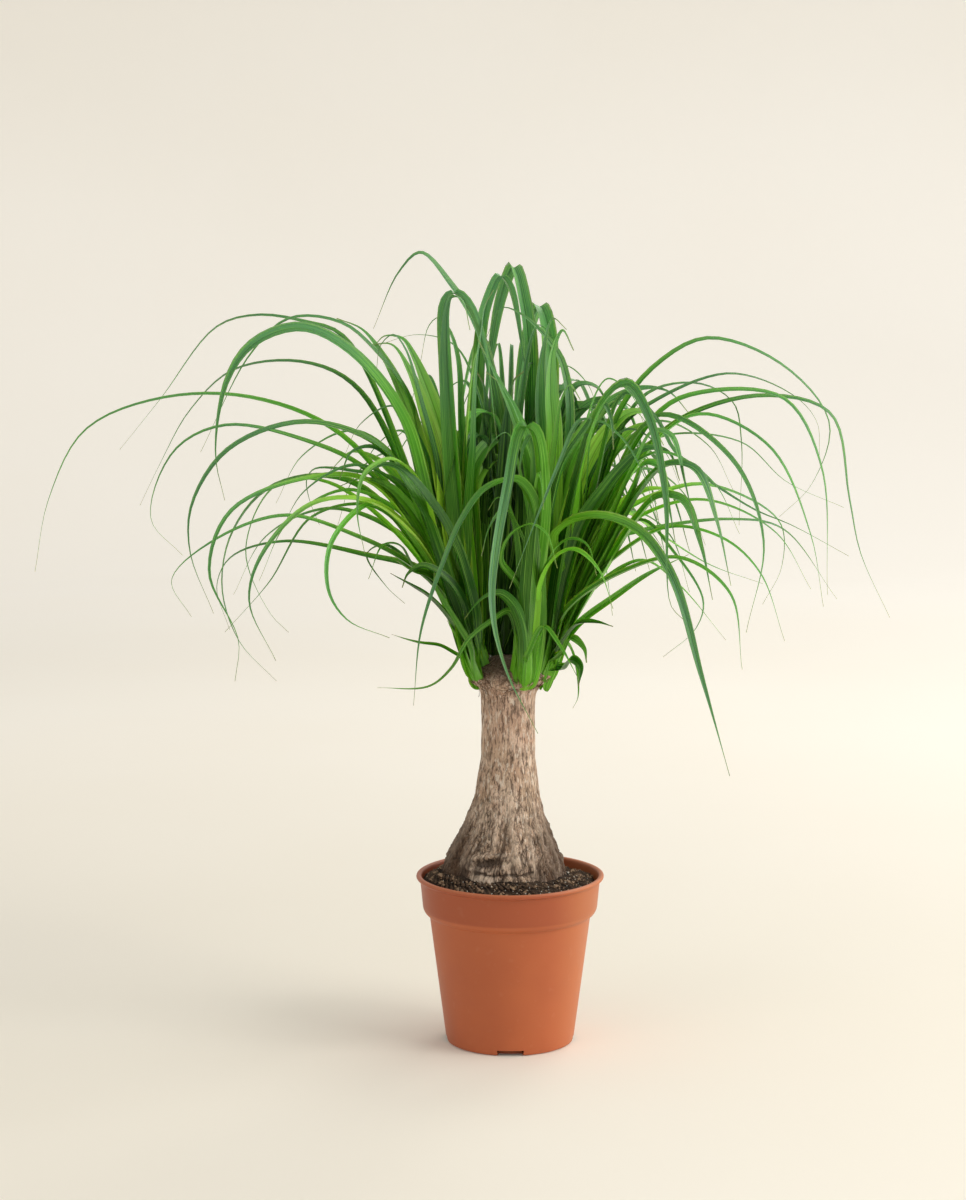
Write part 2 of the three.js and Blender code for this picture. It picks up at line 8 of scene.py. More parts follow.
import bmesh
import bpy
import numpy as np
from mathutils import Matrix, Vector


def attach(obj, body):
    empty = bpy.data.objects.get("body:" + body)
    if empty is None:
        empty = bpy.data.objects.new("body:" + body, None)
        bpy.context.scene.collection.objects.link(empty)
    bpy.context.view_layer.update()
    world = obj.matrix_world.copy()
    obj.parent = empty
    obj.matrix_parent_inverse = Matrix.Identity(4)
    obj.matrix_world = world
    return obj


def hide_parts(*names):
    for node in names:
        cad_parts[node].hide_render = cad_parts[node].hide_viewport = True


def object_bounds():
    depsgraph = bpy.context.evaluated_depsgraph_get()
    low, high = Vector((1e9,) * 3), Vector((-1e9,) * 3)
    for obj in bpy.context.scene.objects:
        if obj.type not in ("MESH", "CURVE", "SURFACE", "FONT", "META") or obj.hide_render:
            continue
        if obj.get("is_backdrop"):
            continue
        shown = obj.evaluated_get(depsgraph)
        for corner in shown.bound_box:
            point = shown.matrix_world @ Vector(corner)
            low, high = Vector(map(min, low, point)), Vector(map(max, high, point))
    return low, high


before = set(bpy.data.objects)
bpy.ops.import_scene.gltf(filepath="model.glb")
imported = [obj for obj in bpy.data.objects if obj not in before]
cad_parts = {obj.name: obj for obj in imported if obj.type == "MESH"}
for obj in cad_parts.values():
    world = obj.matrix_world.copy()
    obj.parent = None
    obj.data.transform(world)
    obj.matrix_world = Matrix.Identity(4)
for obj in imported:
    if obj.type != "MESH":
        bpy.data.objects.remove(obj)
CAD_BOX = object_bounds()
MM = 0.001
print("CAD box in metres:", CAD_BOX)

# %% [markdown]
# ## The camera
# The photograph was taken from a little above the crown with a long lens, so upright lines stay upright. A
# camera 2.6 m away and 0.78 m up, tilted down by 8.2 degrees, shows the rim and the foot of the pot with the
# same two ellipses. The frame is taller than wide, so the lens is measured against its long side.

# %% Place the camera
CAMERA_PLACE = np.array([-24.5, -2590.0, 777.0])
CAMERA_TILT = np.radians(8.2)
FRAME_HEIGHT = 1200
FOCAL_PIXELS = 2930
SENSOR = 36

lens = bpy.data.cameras.new("camera")
lens.sensor_width = SENSOR
lens.lens = SENSOR * FOCAL_PIXELS / FRAME_HEIGHT
camera = bpy.data.objects.new("camera", lens)
camera.location = CAMERA_PLACE * MM
camera.rotation_euler = (np.pi / 2 - CAMERA_TILT, 0, 0)
bpy.context.collection.objects.link(camera)
bpy.context.scene.camera = camera
print("lens of", round(lens.lens, 1), "mm")

# %% [markdown]
# ## Making meshes from arrays
# A piece is a grid of points: one direction runs along it and the other round it. Rows of such a grid become
# four-sided faces, and a point at each end closes it. Everything is worked out for the whole array at once.


# %% Faces of grids and tubes
def grid_faces(rows, columns):
    """Faces between neighbouring rows and columns: (i, j) meets (i, j + 1), (i + 1, j + 1) and (i + 1, j).
    The last column meets the first."""
    i, j = np.meshgrid(np.arange(rows - 1), np.arange(columns), indexing="ij")
    k = (j + 1) % columns
    corners = [i * columns + j, i * columns + k, (i + 1) * columns + k, (i + 1) * columns + j]
    return np.stack(corners, -1).reshape(-1, 4)


def fan_faces(ring, pole, turned):
    """Triangles from one pole to each side of a ring, the other way round where turned."""
    after = np.roll(ring, -1)
    sides = [after, ring] if turned else [ring, after]
    return np.stack([*sides, np.full(len(ring), pole)], -1)


def closed_tube(points):
    """Points of a tube (rows, columns, 3), its four-sided faces, and the triangles round the poles that close
    its first and last row."""
    rows, columns = points.shape[:2]
    flat = points.reshape(-1, 3)
    ends = np.stack([points[0].mean(0), points[-1].mean(0)])
    first = np.arange(columns)
    last = (rows - 1) * columns + first
    fans = [fan_faces(first, len(flat), True), fan_faces(last, len(flat) + 1, False)]
    return np.concatenate([flat, ends]), grid_faces(rows, columns), np.concatenate(fans)


def joined(parts):
    """Many (points, four-sided faces, triangles) as one: a part's faces count on from the points before."""
    points, quads, triangles = zip(*parts)
    starts = np.cumsum([0] + [len(each) for each in points[:-1]])
    quads = [each + start for each, start in zip(quads, starts)]
    triangles = [each + start for each, start in zip(triangles, starts)]
    return np.concatenate(points), np.concatenate(quads), np.concatenate(triangles)


print("three rings of four points have", len(grid_faces(3, 4)), "faces between them")


# %% From arrays to a piece
def volume(points, faces):
    """Enclosed volume: a sixth of the sum of a . (b x c) over the triangles of all faces."""
    a, b, c = points[faces[:, 0]], points[faces[:, 1]], points[faces[:, 2]]
    total = np.einsum("ij,ij->", a, np.cross(b, c))
    if faces.shape[1] == 4:
        d = points[faces[:, 3]]
        total += np.einsum("ij,ij->", a, np.cross(c, d))
    return total / 6


def new_piece(name, points, quads, triangles=None, marks=None, sharp=None):
    """A smooth mesh object from points in millimetres and faces. Each mark keeps a number for each point."""
    triangles = np.zeros((0, 3), int) if triangles is None else np.asarray(triangles)
    if volume(points, quads) + volume(points, triangles) < 0:
        quads, triangles = quads[:, ::-1], triangles[:, ::-1]
    mesh = bpy.data.meshes.new(name)
    mesh.vertices.add(len(points))
    mesh.vertices.foreach_set("co", (np.asarray(points) * MM).astype(np.float32).ravel())
    sizes = np.concatenate([np.full(len(quads), 4), np.full(len(triangles), 3)])
    corners = np.concatenate([quads.ravel(), triangles.ravel()])
    mesh.loops.add(len(corners))
    mesh.loops.foreach_set("vertex_index", corners.astype(np.int32))
    mesh.polygons.add(len(sizes))
    mesh.polygons.foreach_set("loop_start", (np.cumsum(sizes) - sizes).astype(np.int32))
    mesh.update(calc_edges=True)
    mesh.validate()
    for mark, values in (marks or {}).items():
        layer = mesh.attributes.new(mark, "FLOAT", "POINT")
        layer.data.foreach_set("value", np.asarray(values, np.float32))
    mesh.shade_smooth()
    if sharp is not None:
        mesh.set_sharp_from_angle(angle=np.radians(sharp))
    piece = bpy.data.objects.new(name, mesh)
    bpy.context.collection.objects.link(piece)
    print(name, "has", len(quads) * 2 + len(triangles), "triangles")
    return piece


# %% [markdown]
# ## Smooth randomness
# Grown things are uneven, but one bump fades into the next. So uneven places come from a lattice of random
# numbers with smooth steps in between, and the numbers of single leaves or stones come from golden steps,
# which spread evenly. Neither asks a random generator, so each run gives the same plant.

# %% Helpers for smooth randomness
HASH = (73856093, 19349663, 83492791, 2654435)


def cloud(points, size, seed):
    """Noise from -1 to 1: random numbers on a cubic lattice of the given size, blended by 3t^2 - 2t^3 between
    them. A number is made of the low bits of the lattice place times large primes."""
    place = np.asarray(points, float) / size + 31.7 * seed
    cell = np.floor(place).astype(np.int64)
    t = place - cell
    t = t * t * (3 - 2 * t)
    total = 0
    for corner in np.ndindex(2, 2, 2):
        x, y, z = np.moveaxis(cell + np.array(corner), -1, 0)
        number = (x * HASH[0] ^ y * HASH[1] ^ z * HASH[2] ^ (seed + 1) * HASH[3]) & 0xFFFFFFFF
        number = ((number ^ (number >> 13)) * 1274126177) & 0xFFFFFFFF
        value = ((number ^ (number >> 16)) & 0xFFFF) / 32767.5 - 1
        total = total + value * np.prod(np.where(corner, t, 1 - t), axis=-1)
    return total


def layered_cloud(points, size, layers, seed):
    """Clouds added together, each half the size and half the strength of the one before."""
    return sum(cloud(points, size / 2**k, seed + 7 * k) / 2**k for k in range(layers))


def ramp01(value, start, end):
    """0 before start, 1 after end, and 3t^2 - 2t^3 in between."""
    t = np.clip((value - start) / (end - start), 0, 1)
    return t * t * (3 - 2 * t)


GOLDEN = (np.sqrt(5) - 1) / 2


def draw(k, salt):
    """A number from 0 to 1 for each k: steps of the golden section, moved on for each salt."""
    return (k * GOLDEN + salt * 0.7549 + k * salt * 0.1197) % 1


print("the first golden steps:", *(round(float(draw(k, 0)), 2) for k in range(5)))


# %% [markdown]
# ## Making materials
# A material is a small net of nodes, and most of it lays one tint over another where some value is high: a
# height, a noise or a mark on the mesh. A few helpers keep the nets short. The blotches and the fine grain
# that most finishes share are a node group, built once.


# %% Helpers for materials
def colour(text):
    """A linear colour from six sRGB digits: c / 12.92 below 0.04045, else ((c + 0.055) / 1.055) ^ 2.4."""
    c = np.array([int(text[i : i + 2], 16) for i in (0, 2, 4)]) / 255
    linear = np.where(c <= 0.04045, c / 12.92, ((c + 0.055) / 1.055) ** 2.4)
    return (*linear, 1.0)


def add(tree, kind, inputs=None, **settings):
    """Adds a node to a tree. Its inputs are plain values, or other nodes' sockets to join."""
    made = tree.nodes.new(kind)
    for key, value in settings.items():
        setattr(made, key, value)
    for key, value in (inputs or {}).items():
        if isinstance(value, bpy.types.NodeSocket):
            tree.links.new(value, made.inputs[key])
        else:
            made.inputs[key].default_value = value
    return made


def mix(tree, share, first, second):
    """Colour between the first and the second, by the share."""
    return add(tree, "ShaderNodeMix", {0: share, 6: first, 7: second}, data_type="RGBA").outputs[2]


def reckon(tree, way, *values):
    """One step of arithmetic on numbers."""
    return add(tree, "ShaderNodeMath", dict(enumerate(values)), operation=way).outputs[0]


def between(tree, value, low, high, new_low=0.0, new_high=1.0):
    """Maps the range low..high smoothly to new_low..new_high."""
    inputs = {"Value": value, "From Min": low, "From Max": high, "To Min": new_low, "To Max": new_high}
    return add(tree, "ShaderNodeMapRange", inputs, interpolation_type="SMOOTHSTEP").outputs[0]


def stain(tree, under, tint, value, low, high, most=1.0):
    """Lays a tint over a colour: none of it where the value is at low, and most of it where it is at high."""
    return mix(tree, between(tree, value, low, high, 0.0, most), under, colour(tint))


def noise(tree, place, scale, detail, **more):
    """Soft noise around 0.5, so many blotches to a metre."""
    inputs = {"Vector": place, "Scale": scale, "Detail": detail, **more}
    return add(tree, "ShaderNodeTexNoise", inputs).outputs[0]


def own_place(tree):
    """Where a point lies on the object's own coordinates, in metres."""
    return add(tree, "ShaderNodeTexCoord").outputs["Object"]


def split(tree, place):
    """The three numbers of a place."""
    return add(tree, "ShaderNodeSeparateXYZ", {0: place}).outputs[:3]


print("half grey in linear numbers:", round(float(colour("808080")[0]), 3))


# %% A group for blotches and fine grain
def new_group(name, inputs, outputs):
    """An empty node group with number and vector sockets: its tree, what goes in and what comes out."""
    tree = bpy.data.node_groups.new(name, "ShaderNodeTree")
    for label, kind in inputs.items():
        tree.interface.new_socket(label, in_out="INPUT", socket_type=kind)
    for label in outputs:
        tree.interface.new_socket(label, in_out="OUTPUT", socket_type="NodeSocketFloat")
    return tree, tree.nodes.new("NodeGroupInput"), tree.nodes.new("NodeGroupOutput")


SPECKLE, went, came = new_group(
    "speckle", {"Vector": "NodeSocketVector", "Size": "NodeSocketFloat"}, ["Blotch", "Grain"]
)
size = went.outputs["Size"]
SPECKLE.links.new(noise(SPECKLE, went.outputs["Vector"], size, 3.0), came.inputs["Blotch"])
finer = reckon(SPECKLE, "MULTIPLY", size, 9.0)
SPECKLE.links.new(noise(SPECKLE, went.outputs["Vector"], finer, 2.0), came.inputs["Grain"])


def speckle(tree, size):
    """Blotch and grain, each from 0 to 1, on the object's own coordinates. The size is blotches per metre."""
    made = add(tree, "ShaderNodeGroup", node_tree=SPECKLE)
    tree.links.new(own_place(tree), made.inputs["Vector"])
    made.inputs["Size"].default_value = size
    return made.outputs["Blotch"], made.outputs["Grain"]


print("the shared group has", len(SPECKLE.nodes), "nodes")

# %% [markdown]
# ## The stage and the light
# The plant stands on a seamless pale ground. A bowl does the same from every side: a flat floor that turns
# up into a round wall. The wall neither shades nor lights anything. One large soft lamp from the right
# and the front gives the pot its bright side and the soft shadow on the left, and an even sky fills the rest.


# %% The bowl
FLOOR_REACH = 3200
BEND = 1800
BOWL_SIDES = 96


def bowl_part(name, profile):
    """A surface of revolution through (radius, height) pairs, seen from inside."""
    angle = np.linspace(0, 2 * np.pi, BOWL_SIDES, endpoint=False)
    radius, height = np.array(profile, float).T
    around = np.stack([np.cos(angle), np.sin(angle)], -1)
    flat = radius[:, None, None] * around[None]
    points = np.concatenate([flat, np.broadcast_to(height[:, None, None], (len(radius), BOWL_SIDES, 1))], -1)
    mesh = bpy.data.meshes.new(name)
    mesh.from_pydata((points.reshape(-1, 3) * MM).tolist(), [], grid_faces(len(radius), BOWL_SIDES).tolist())
    mesh.shade_smooth()
    made = bpy.data.objects.new(name, mesh)
    bpy.context.collection.objects.link(made)
    made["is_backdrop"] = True
    return made


turn = np.linspace(0, np.pi / 2, 24)
bend = np.stack([FLOOR_REACH + BEND * np.sin(turn), BEND * (1 - np.cos(turn))], -1)
floor = bowl_part("floor", [(0.01, 0), (300, 0), (1000, 0), (2000, 0), (FLOOR_REACH, 0)])
wall = bowl_part("wall", [*bend, (FLOOR_REACH + BEND, 6000)])
wall.visible_shadow = wall.visible_diffuse = wall.visible_glossy = False
print("the bowl is", 2 * (FLOOR_REACH + BEND) * MM, "m wide")


# %% Its paper
def new_finish(name, roughness, specular):
    """An empty material: its tree and its Principled shader."""
    made = bpy.data.materials.new(name)
    made.use_nodes = True
    shader = made.node_tree.nodes["Principled BSDF"]
    shader.inputs["Roughness"].default_value = roughness
    shader.inputs["Specular IOR Level"].default_value = specular
    return made, made.node_tree, shader


def wear(piece, finish):
    """Gives a piece its finish."""
    piece.data.materials.append(finish)
    print(piece.name, "wears", finish.name, "with", len(finish.node_tree.nodes), "nodes")


paper, tree, shader = new_finish("paper", 0.75, 0.2)
blotch, _ = speckle(tree, 1.5)
tree.links.new(mix(tree, blotch, colour("efe7d6"), colour("f3ede0")), shader.inputs["Base Color"])
# Painted light: the paper glows, standing in for lamps on the backdrop. The glow grows away from the plant,
# drops higher up the wall and is brighter to the right, where the lamps are, and a little of it by the plant
# lightens the cast shadow.
x, y, z = split(tree, own_place(tree))
squares = reckon(tree, "ADD", reckon(tree, "MULTIPLY", x, x), reckon(tree, "MULTIPLY", y, y))
away = reckon(tree, "SQRT", squares)
near, far = between(tree, away, 0.3, 1.9, 0.03, 0.155), between(tree, away, 2.1, 3.3, 0.0, 0.12)
painted_backdrop_light = reckon(tree, "ADD", reckon(tree, "ADD", near, far), between(tree, z, 0.5, 1.5, 0.0, -0.08))
painted_backdrop_light = reckon(tree, "MULTIPLY", painted_backdrop_light, between(tree, x, -2.0, 2.0, 0.75, 1.15))
tree.links.new(mix(tree, painted_backdrop_light, (0, 0, 0, 1), (1.0, 0.99, 0.99, 1)), shader.inputs["Emission Color"])
shader.inputs["Emission Strength"].default_value = 1.0
wear(floor, paper)
wear(wall, paper)


# %% The lamps
def lamp(name, place, aim, size, power, tint):
    """A square area lamp at a place, turned to shine on its aim."""
    light = bpy.data.lights.new(name, "AREA")
    light.shape = "SQUARE"
    light.size = size
    light.energy = power
    light.color = tint
    made = bpy.data.objects.new(name, light)
    made.location = place
    way = Vector(aim) - Vector(place)
    made.rotation_euler = way.to_track_quat("-Z", "Y").to_euler()
    bpy.context.collection.objects.link(made)


lamp("key_lamp", (2.3, -1.2, 1.9), (0, 0, 0.3), 1.6, 36, (1.0, 0.99, 0.97))
lamp("side_lamp", (3.2, 0.2, 1.4), (0, 0, 0.4), 3.2, 55, (1.0, 0.99, 0.97))
lamp("left_lamp", (-2.2, -2.0, 1.6), (0, 0, 0.4), 1.6, 9, (1.0, 0.98, 0.95))
lamp("back_lamp", (1.2, 2.2, 2.4), (0, 0, 0.4), 1.4, 20, (1.0, 0.98, 0.95))

world = bpy.data.worlds.new("sky")
bpy.context.scene.world = world
world.use_nodes = True
sky = world.node_tree.nodes["Background"]
sky.inputs["Color"].default_value = (1.0, 0.985, 0.95, 1.0)
sky.inputs["Strength"].default_value = 0.54
bpy.context.scene.view_settings.view_transform = "Standard"
print("stage and lamps are in place")

# %% [markdown]
# ## The pot
# A nursery pot is one thin moulding: a tapered wall, a step up to a wider band by which it is handled and
# stacked, and a rolled lip. Its wall is a closed profile turned round the axis. The four drainage slots are
# holes in that skin, where the wall meets the floor, with the cut wall's thickness showing round them.

# %% The pot's profile
POT_HEIGHT = 154
STEP_TOP = 123
STEP_FOOT = 117
SLOT_TOP = 5.2
SLOT_INNER = 49
SLOT_ROWS = 5
POT_SIDES = 240
SLOT_HALF = 8
WALL_THICK = 1.8


def rounded(profile):
    """Cuts each corner of a line at a quarter and three quarters of its sides, twice."""
    line = np.array(profile, float)
    for _ in range(2):
        a, b = line[:-1], line[1:]
        cut = np.stack([0.75 * a + 0.25 * b, 0.25 * a + 0.75 * b], 1).reshape(-1, 2)
        line = np.concatenate([line[:1], cut, line[-1:]])
    return line


def taper(z):
    """Outer radius of the tapered wall at a height: a straight line from 58.2 at 3.2 to 73 at the step."""
    return 58.2 + (73 - 58.2) * (z - 3.2) / (STEP_FOOT - 3.2)


outer_low = [(0.01, 0), (SLOT_INNER, 0), (55.5, 0), (57.4, 0.9), (58.2, 3.2), (taper(SLOT_TOP), SLOT_TOP)]
outer_high = [
    *[(taper(z), z) for z in (6, 40, 80, 112)], (73, STEP_FOOT), (76.5, STEP_FOOT + 1.6), (79, STEP_TOP),
    (79.6, 131), (80.6, 141), (81.4, 148.4), (82.6, 149.6), (84.4, 150.4), (85.0, 151.8), (84.7, 153.2),
    (83.6, POT_HEIGHT),
]
inner_high = [
    (81.6, 153.9), (80.3, 153.0), (79.7, 151), (77.2, STEP_TOP), (72.4, STEP_FOOT), (71.2, 115),
    *[(taper(z) - WALL_THICK, z) for z in (80, 40, 6)],
]
inner_low = [
    (taper(SLOT_TOP) - WALL_THICK, SLOT_TOP), (56.1, 4.2), (55.3, 2.8), (53.7, 2), (SLOT_INNER, 2), (0.01, 2),
]
pot_profile = np.concatenate([outer_low, rounded(outer_high + inner_high), inner_low])
print("the pot's profile has", len(pot_profile), "points")


# %% The pot's skin and its slots
def turned_profile(profile, sides):
    """Grid of points: the profile's radius times (cos a, sin a), and its height, for angles a all round."""
    angle = np.linspace(0, 2 * np.pi, sides, endpoint=False)
    radius, height = profile[:, 0, None], profile[:, 1, None]
    return np.stack([radius * np.cos(angle), radius * np.sin(angle), height * np.ones_like(angle)], -1)


pot_grid = turned_profile(pot_profile, POT_SIDES)
# The lip of a thin pot is never quite round or level: two slow waves of less than half a millimetre.
pot_angle = np.arctan2(pot_grid[..., 1], pot_grid[..., 0])
lift = ramp01(pot_grid[..., 2], 60, POT_HEIGHT)
pot_grid[..., 2] += lift * 0.35 * np.cos(3 * pot_angle + 1.2)
pot_grid[..., :2] *= (1 + lift * 0.0035 * np.cos(2 * pot_angle - 0.7) - lift * 0.0035)[..., None]
print("the pot's skin has", pot_grid.shape[0] * pot_grid.shape[1], "points")

# %% The slots and the finished pot
pot_rows = len(pot_profile)
pot_quads = grid_faces(pot_rows, POT_SIDES)
row_of, column_of = pot_quads[:, 0] // POT_SIDES, pot_quads[:, 0] % POT_SIDES
quarter = POT_SIDES // 4
in_slot = (column_of + SLOT_HALF) % quarter < 2 * SLOT_HALF
low_rows = (row_of >= 1) & (row_of < SLOT_ROWS)
high_rows = (row_of >= pot_rows - 1 - SLOT_ROWS) & (row_of < pot_rows - 2)
kept = pot_quads[~(in_slot & (low_rows | high_rows))]

# Round each slot, faces join the cut edge of the outer skin to that of the inner one.
reveals = []
for i in range(4):
    left, right = i * quarter - SLOT_HALF, i * quarter + SLOT_HALF
    loop_rows = [1] * (2 * SLOT_HALF) + list(range(1, SLOT_ROWS)) + [SLOT_ROWS] * (2 * SLOT_HALF)
    loop_rows = np.array(loop_rows + list(range(SLOT_ROWS, 1, -1)))
    loop_columns = list(range(left, right)) + [right] * (SLOT_ROWS - 1) + list(range(right, left, -1))
    loop_columns = np.array(loop_columns + [left] * (SLOT_ROWS - 1)) % POT_SIDES
    outside = loop_rows * POT_SIDES + loop_columns
    inside = (pot_rows - 1 - loop_rows) * POT_SIDES + loop_columns
    reveals.append(np.stack([outside, np.roll(outside, -1), np.roll(inside, -1), inside], -1))

pot = new_piece("nursery_pot", pot_grid.reshape(-1, 3), np.concatenate([kept, *reveals]))
shell = bmesh.new()
shell.from_mesh(pot.data)
bmesh.ops.remove_doubles(shell, verts=shell.verts, dist=0.03 * MM)
bmesh.ops.recalc_face_normals(shell, faces=shell.faces)
print("open edges of the pot:", sum(edge.is_boundary for edge in shell.edges))
shell.to_mesh(pot.data)
shell.free()
pot.data.set_sharp_from_angle(angle=np.radians(40))
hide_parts("pot")
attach(pot, "root")

# %% [markdown]
# ## The pot's plastic
# Coloured polypropylene is satin, not glossy: light spreads on it softly. It is slightly cloudy from the
# mould, and fine dust and scuffs break up its sheen. Painted shade darkens its band, a painted highlight
# lightens its lip, and painted light lightens the side that faces the lamps.


# %% Terracotta plastic
def roughen(tree, shader, height, strength, distance):
    """Bump: tilts the shading as if the height were real."""
    made = add(tree, "ShaderNodeBump", {"Height": height, "Strength": strength, "Distance": distance})
    tree.links.new(made.outputs["Normal"], shader.inputs["Normal"])


plastic, tree, shader = new_finish("terracotta_plastic", 0.42, 0.4)
blotch, grain = speckle(tree, 14)
x, _, height = split(tree, own_place(tree))
tint = stain(tree, colour("b15b34"), "b96238", blotch, 0.3, 0.7)
# Painted shade darkens the band above the step, under the lip.
tint = stain(tree, tint, "a04d2c", height, 0.1220, 0.1240, 0.8)
# Painted light: the right side, which faces the lamps, is lighter.
tint = stain(tree, tint, "cf844d", x, 0.03, 0.075, 0.4)
# A painted highlight lightens the lip.
tint = stain(tree, tint, "c67b54", height, 0.1515, 0.1540, 0.5)
tint = stain(tree, tint, "d9a889", grain, 0.62, 0.75, 0.04)
tree.links.new(tint, shader.inputs["Base Color"])
tree.links.new(between(tree, blotch, 0.2, 0.8, 0.38, 0.52), shader.inputs["Roughness"])
roughen(tree, shader, grain, 0.10, 0.0004)
wear(pot, plastic)

# %% [markdown]
# ## The trunk
# The trunk is one woody column that flares into a wide foot. Old buttresses run down into the soil, long
# furrows and short cross cracks break the bark, a knot with a hollow mouth sits at the front, and a pale root
# runs down beside it. All of that is a distance from the axis for each angle and height, so one grid holds
# it, and a mark kept on the mesh darkens the furrows, partly as painted shade, and paints shade into the
# knot's hollow and a crease.

# %% The trunk's form
# Height, middle in x and half width, from the buried foot up to the stub.
TRUNK_FORM = np.array([
    [84, -5, 30], [94, -5, 45], [112, -6, 55], [134, -6.5, 59.5], [142, -6.5, 59], [154, -6, 56],
    [166, -5.5, 52.5], [174, -5.5, 49.5], [182, -5, 46], [190, -4.5, 42], [198, -4, 38.5], [206, -3.5, 35],
    [216, -3, 31.5], [228, -2.5, 29], [244, -2.5, 27], [262, -2, 24.5], [290, -2, 24], [318, -2, 24.5],
    [326, -1.5, 26.5], [331, -1, 32.5], [337, -0.5, 34.5], [343, -0.5, 31.5], [348, -0.5, 24], [352, -1, 15],
])
TRUNK_SIDES = 400
TRUNK_ROWS = 236
COLLAR_ROWS = 46
TRUNK_FOOT, COLLAR_FOOT, TRUNK_TOP = 100, 320, 352


def softened(values, reach):
    """Running mean over a number of neighbours, with the ends held."""
    wide = np.pad(values, reach, mode="edge")
    return np.convolve(wide, np.full(2 * reach + 1, 1 / (2 * reach + 1)), mode="valid")


def swell(far):
    """A round rise: e to the power of minus the square, which is 1 in the middle and nothing from 3 on."""
    return np.exp(-(far**2))


def trunk_radius(angle, z):
    """Half width times 1 + ridge + burl, with the same waves as the CAD trunk."""
    half = np.interp(z, TRUNK_FORM[:, 0], TRUNK_FORM[:, 2])
    fade = ramp01(250 - z, 0, 110) * ramp01(z, 96, 150)
    waves = 0.5 * np.cos(5 * angle + 0.8) + 0.35 * np.cos(8 * angle - 0.012 * z)
    waves = waves + 0.25 * np.cos(13 * angle + 0.5 + 0.02 * z)
    knobs = 0.6 * np.cos(7 * angle + 0.6) + 0.4 * np.cos(11 * angle - 1 + 0.1 * z)
    return half * (1 + (0.012 + 0.05 * fade) * waves + 0.1 * swell((z - 334) / 9) * knobs)


def trunk_middle(z):
    """Middle of the trunk in x at a height."""
    return np.interp(z, TRUNK_FORM[:, 0], TRUNK_FORM[:, 1])


# The rows lie closer on the collar, which is knobblier.
column_z = np.linspace(TRUNK_FOOT, COLLAR_FOOT, TRUNK_ROWS - COLLAR_ROWS)
trunk_z = np.concatenate([column_z, np.linspace(COLLAR_FOOT + 0.8, TRUNK_TOP, COLLAR_ROWS)])
angle, z = np.meshgrid(np.linspace(0, 2 * np.pi, TRUNK_SIDES, endpoint=False), trunk_z)
radius = np.apply_along_axis(softened, 0, trunk_radius(angle, z), 2)
on_bark = np.stack([radius * np.cos(angle), radius * np.sin(angle), z], -1)
print("the trunk is", round(2 * float(radius[0].max())), "mm wide at its buried foot")


# %% Furrows and cracks
def cracks(points, stretch, size, width, seed):
    """Lines where a stretched cloud passes zero: 1 on the line, falling to 0 where the cloud is the width."""
    bent = points + 2.6 * np.stack([cloud(points, 9, seed + k) for k in (1, 2, 3)], -1)
    line = np.abs(layered_cloud(bent * stretch, size, 2, seed))
    return np.clip(1 - line / width, 0, 1)


low_down = ramp01(-z, -262, -190)
# Long furrows follow the flare, so they are drawn on a straight column and spread with it.
on_column = np.stack([32 * np.cos(angle), 32 * np.sin(angle), z], -1)
long_furrows = cracks(on_column, [1, 1, 0.085], 7.5, 0.12, 11)
crests = cracks(on_column, [1, 1, 0.06], 9, 0.14, 91) * low_down
short_furrows = cracks(on_bark, [1, 1, 0.2], 4.2, 0.2, 23)
fine_furrows = cracks(on_bark, [1, 1, 0.16], 3.0, 0.28, 29) * low_down
cross_cracks = cracks(on_bark, [0.3, 0.3, 1], 5.5, 0.15, 37)
patches = ramp01(cloud(on_bark, 16, 5), -0.1, 0.5)
groove = np.maximum(long_furrows * (0.2 + 0.6 * low_down), short_furrows * (0.4 + 0.2 * low_down))
groove = np.maximum(groove, 0.75 * fine_furrows)
groove = np.maximum(groove, cross_cracks * patches * (0.4 + 0.3 * low_down))
print("share of the bark in furrows:", round(float((groove > 0.2).mean()), 2))

# %% The knot, the root and the ribs
across = on_bark[..., 0]
in_front = np.cos(angle + np.pi / 2) > 0
knot_far = np.hypot((across + 14) / 10, (z - 175 - 0.1 * across) / 3.4)
knot = np.where(in_front, swell(knot_far), 0)
knot_lip = np.where(in_front, swell((knot_far - 1.9) / 0.55), 0)
root_middle = np.interp(z, [138, 152, 163, 172], [-15, -16, -18, -20])
root = np.where(in_front, np.sqrt(np.clip(1 - ((across - root_middle) / 13) ** 2, 0, 1)), 0)
root = root * ramp01(170 - z, 0, 12)

# Ribs at the front of the foot: heights, how far aside there, half width and strength.
RIBS = [
    ([172, 186, 206, 228], [11, 8, 4, 0], 4.0, 1.0), ([161, 179, 196, 214], [28, 25, 20, 14], 2.0, 1.0),
    ([168, 182, 198, 217], [-40, -35, -28, -21], 2.0, 0.8), ([185, 198, 214], [-10, -9, -9], 3.0, 0.7),
    ([164, 176, 197, 224], [-54, -49, -38, -26], 2.2, 0.7),
    ([158, 174, 192, 217], [50, 47, 38, 28], 2.0, 0.7), ([177, 192, 208, 226], [38, 32, 25, 21], 1.8, 0.6),
]
rib = np.zeros_like(z)
for heights, aside, width, strength in RIBS:
    far = (across - np.interp(z, heights, aside) - 0.7 * cloud(on_bark, 6, 33)) / width
    ends = ramp01(z, heights[0] - 7, heights[0] + 5) * ramp01(-z, -heights[-1] - 8, -heights[-1] + 8)
    rib = np.maximum(rib, np.where(in_front, strength * swell(far) * ends, 0))
crease = swell((z - 164 - 0.002 * (across + 4) ** 2 + cloud(on_bark, 8, 35)) / 1.1)
crease = np.where(in_front & (np.abs(across) < 26), crease, 0)
print(len(RIBS), "ribs, and a knot at a height of", round(float(z.flat[knot.argmax()])), "mm")

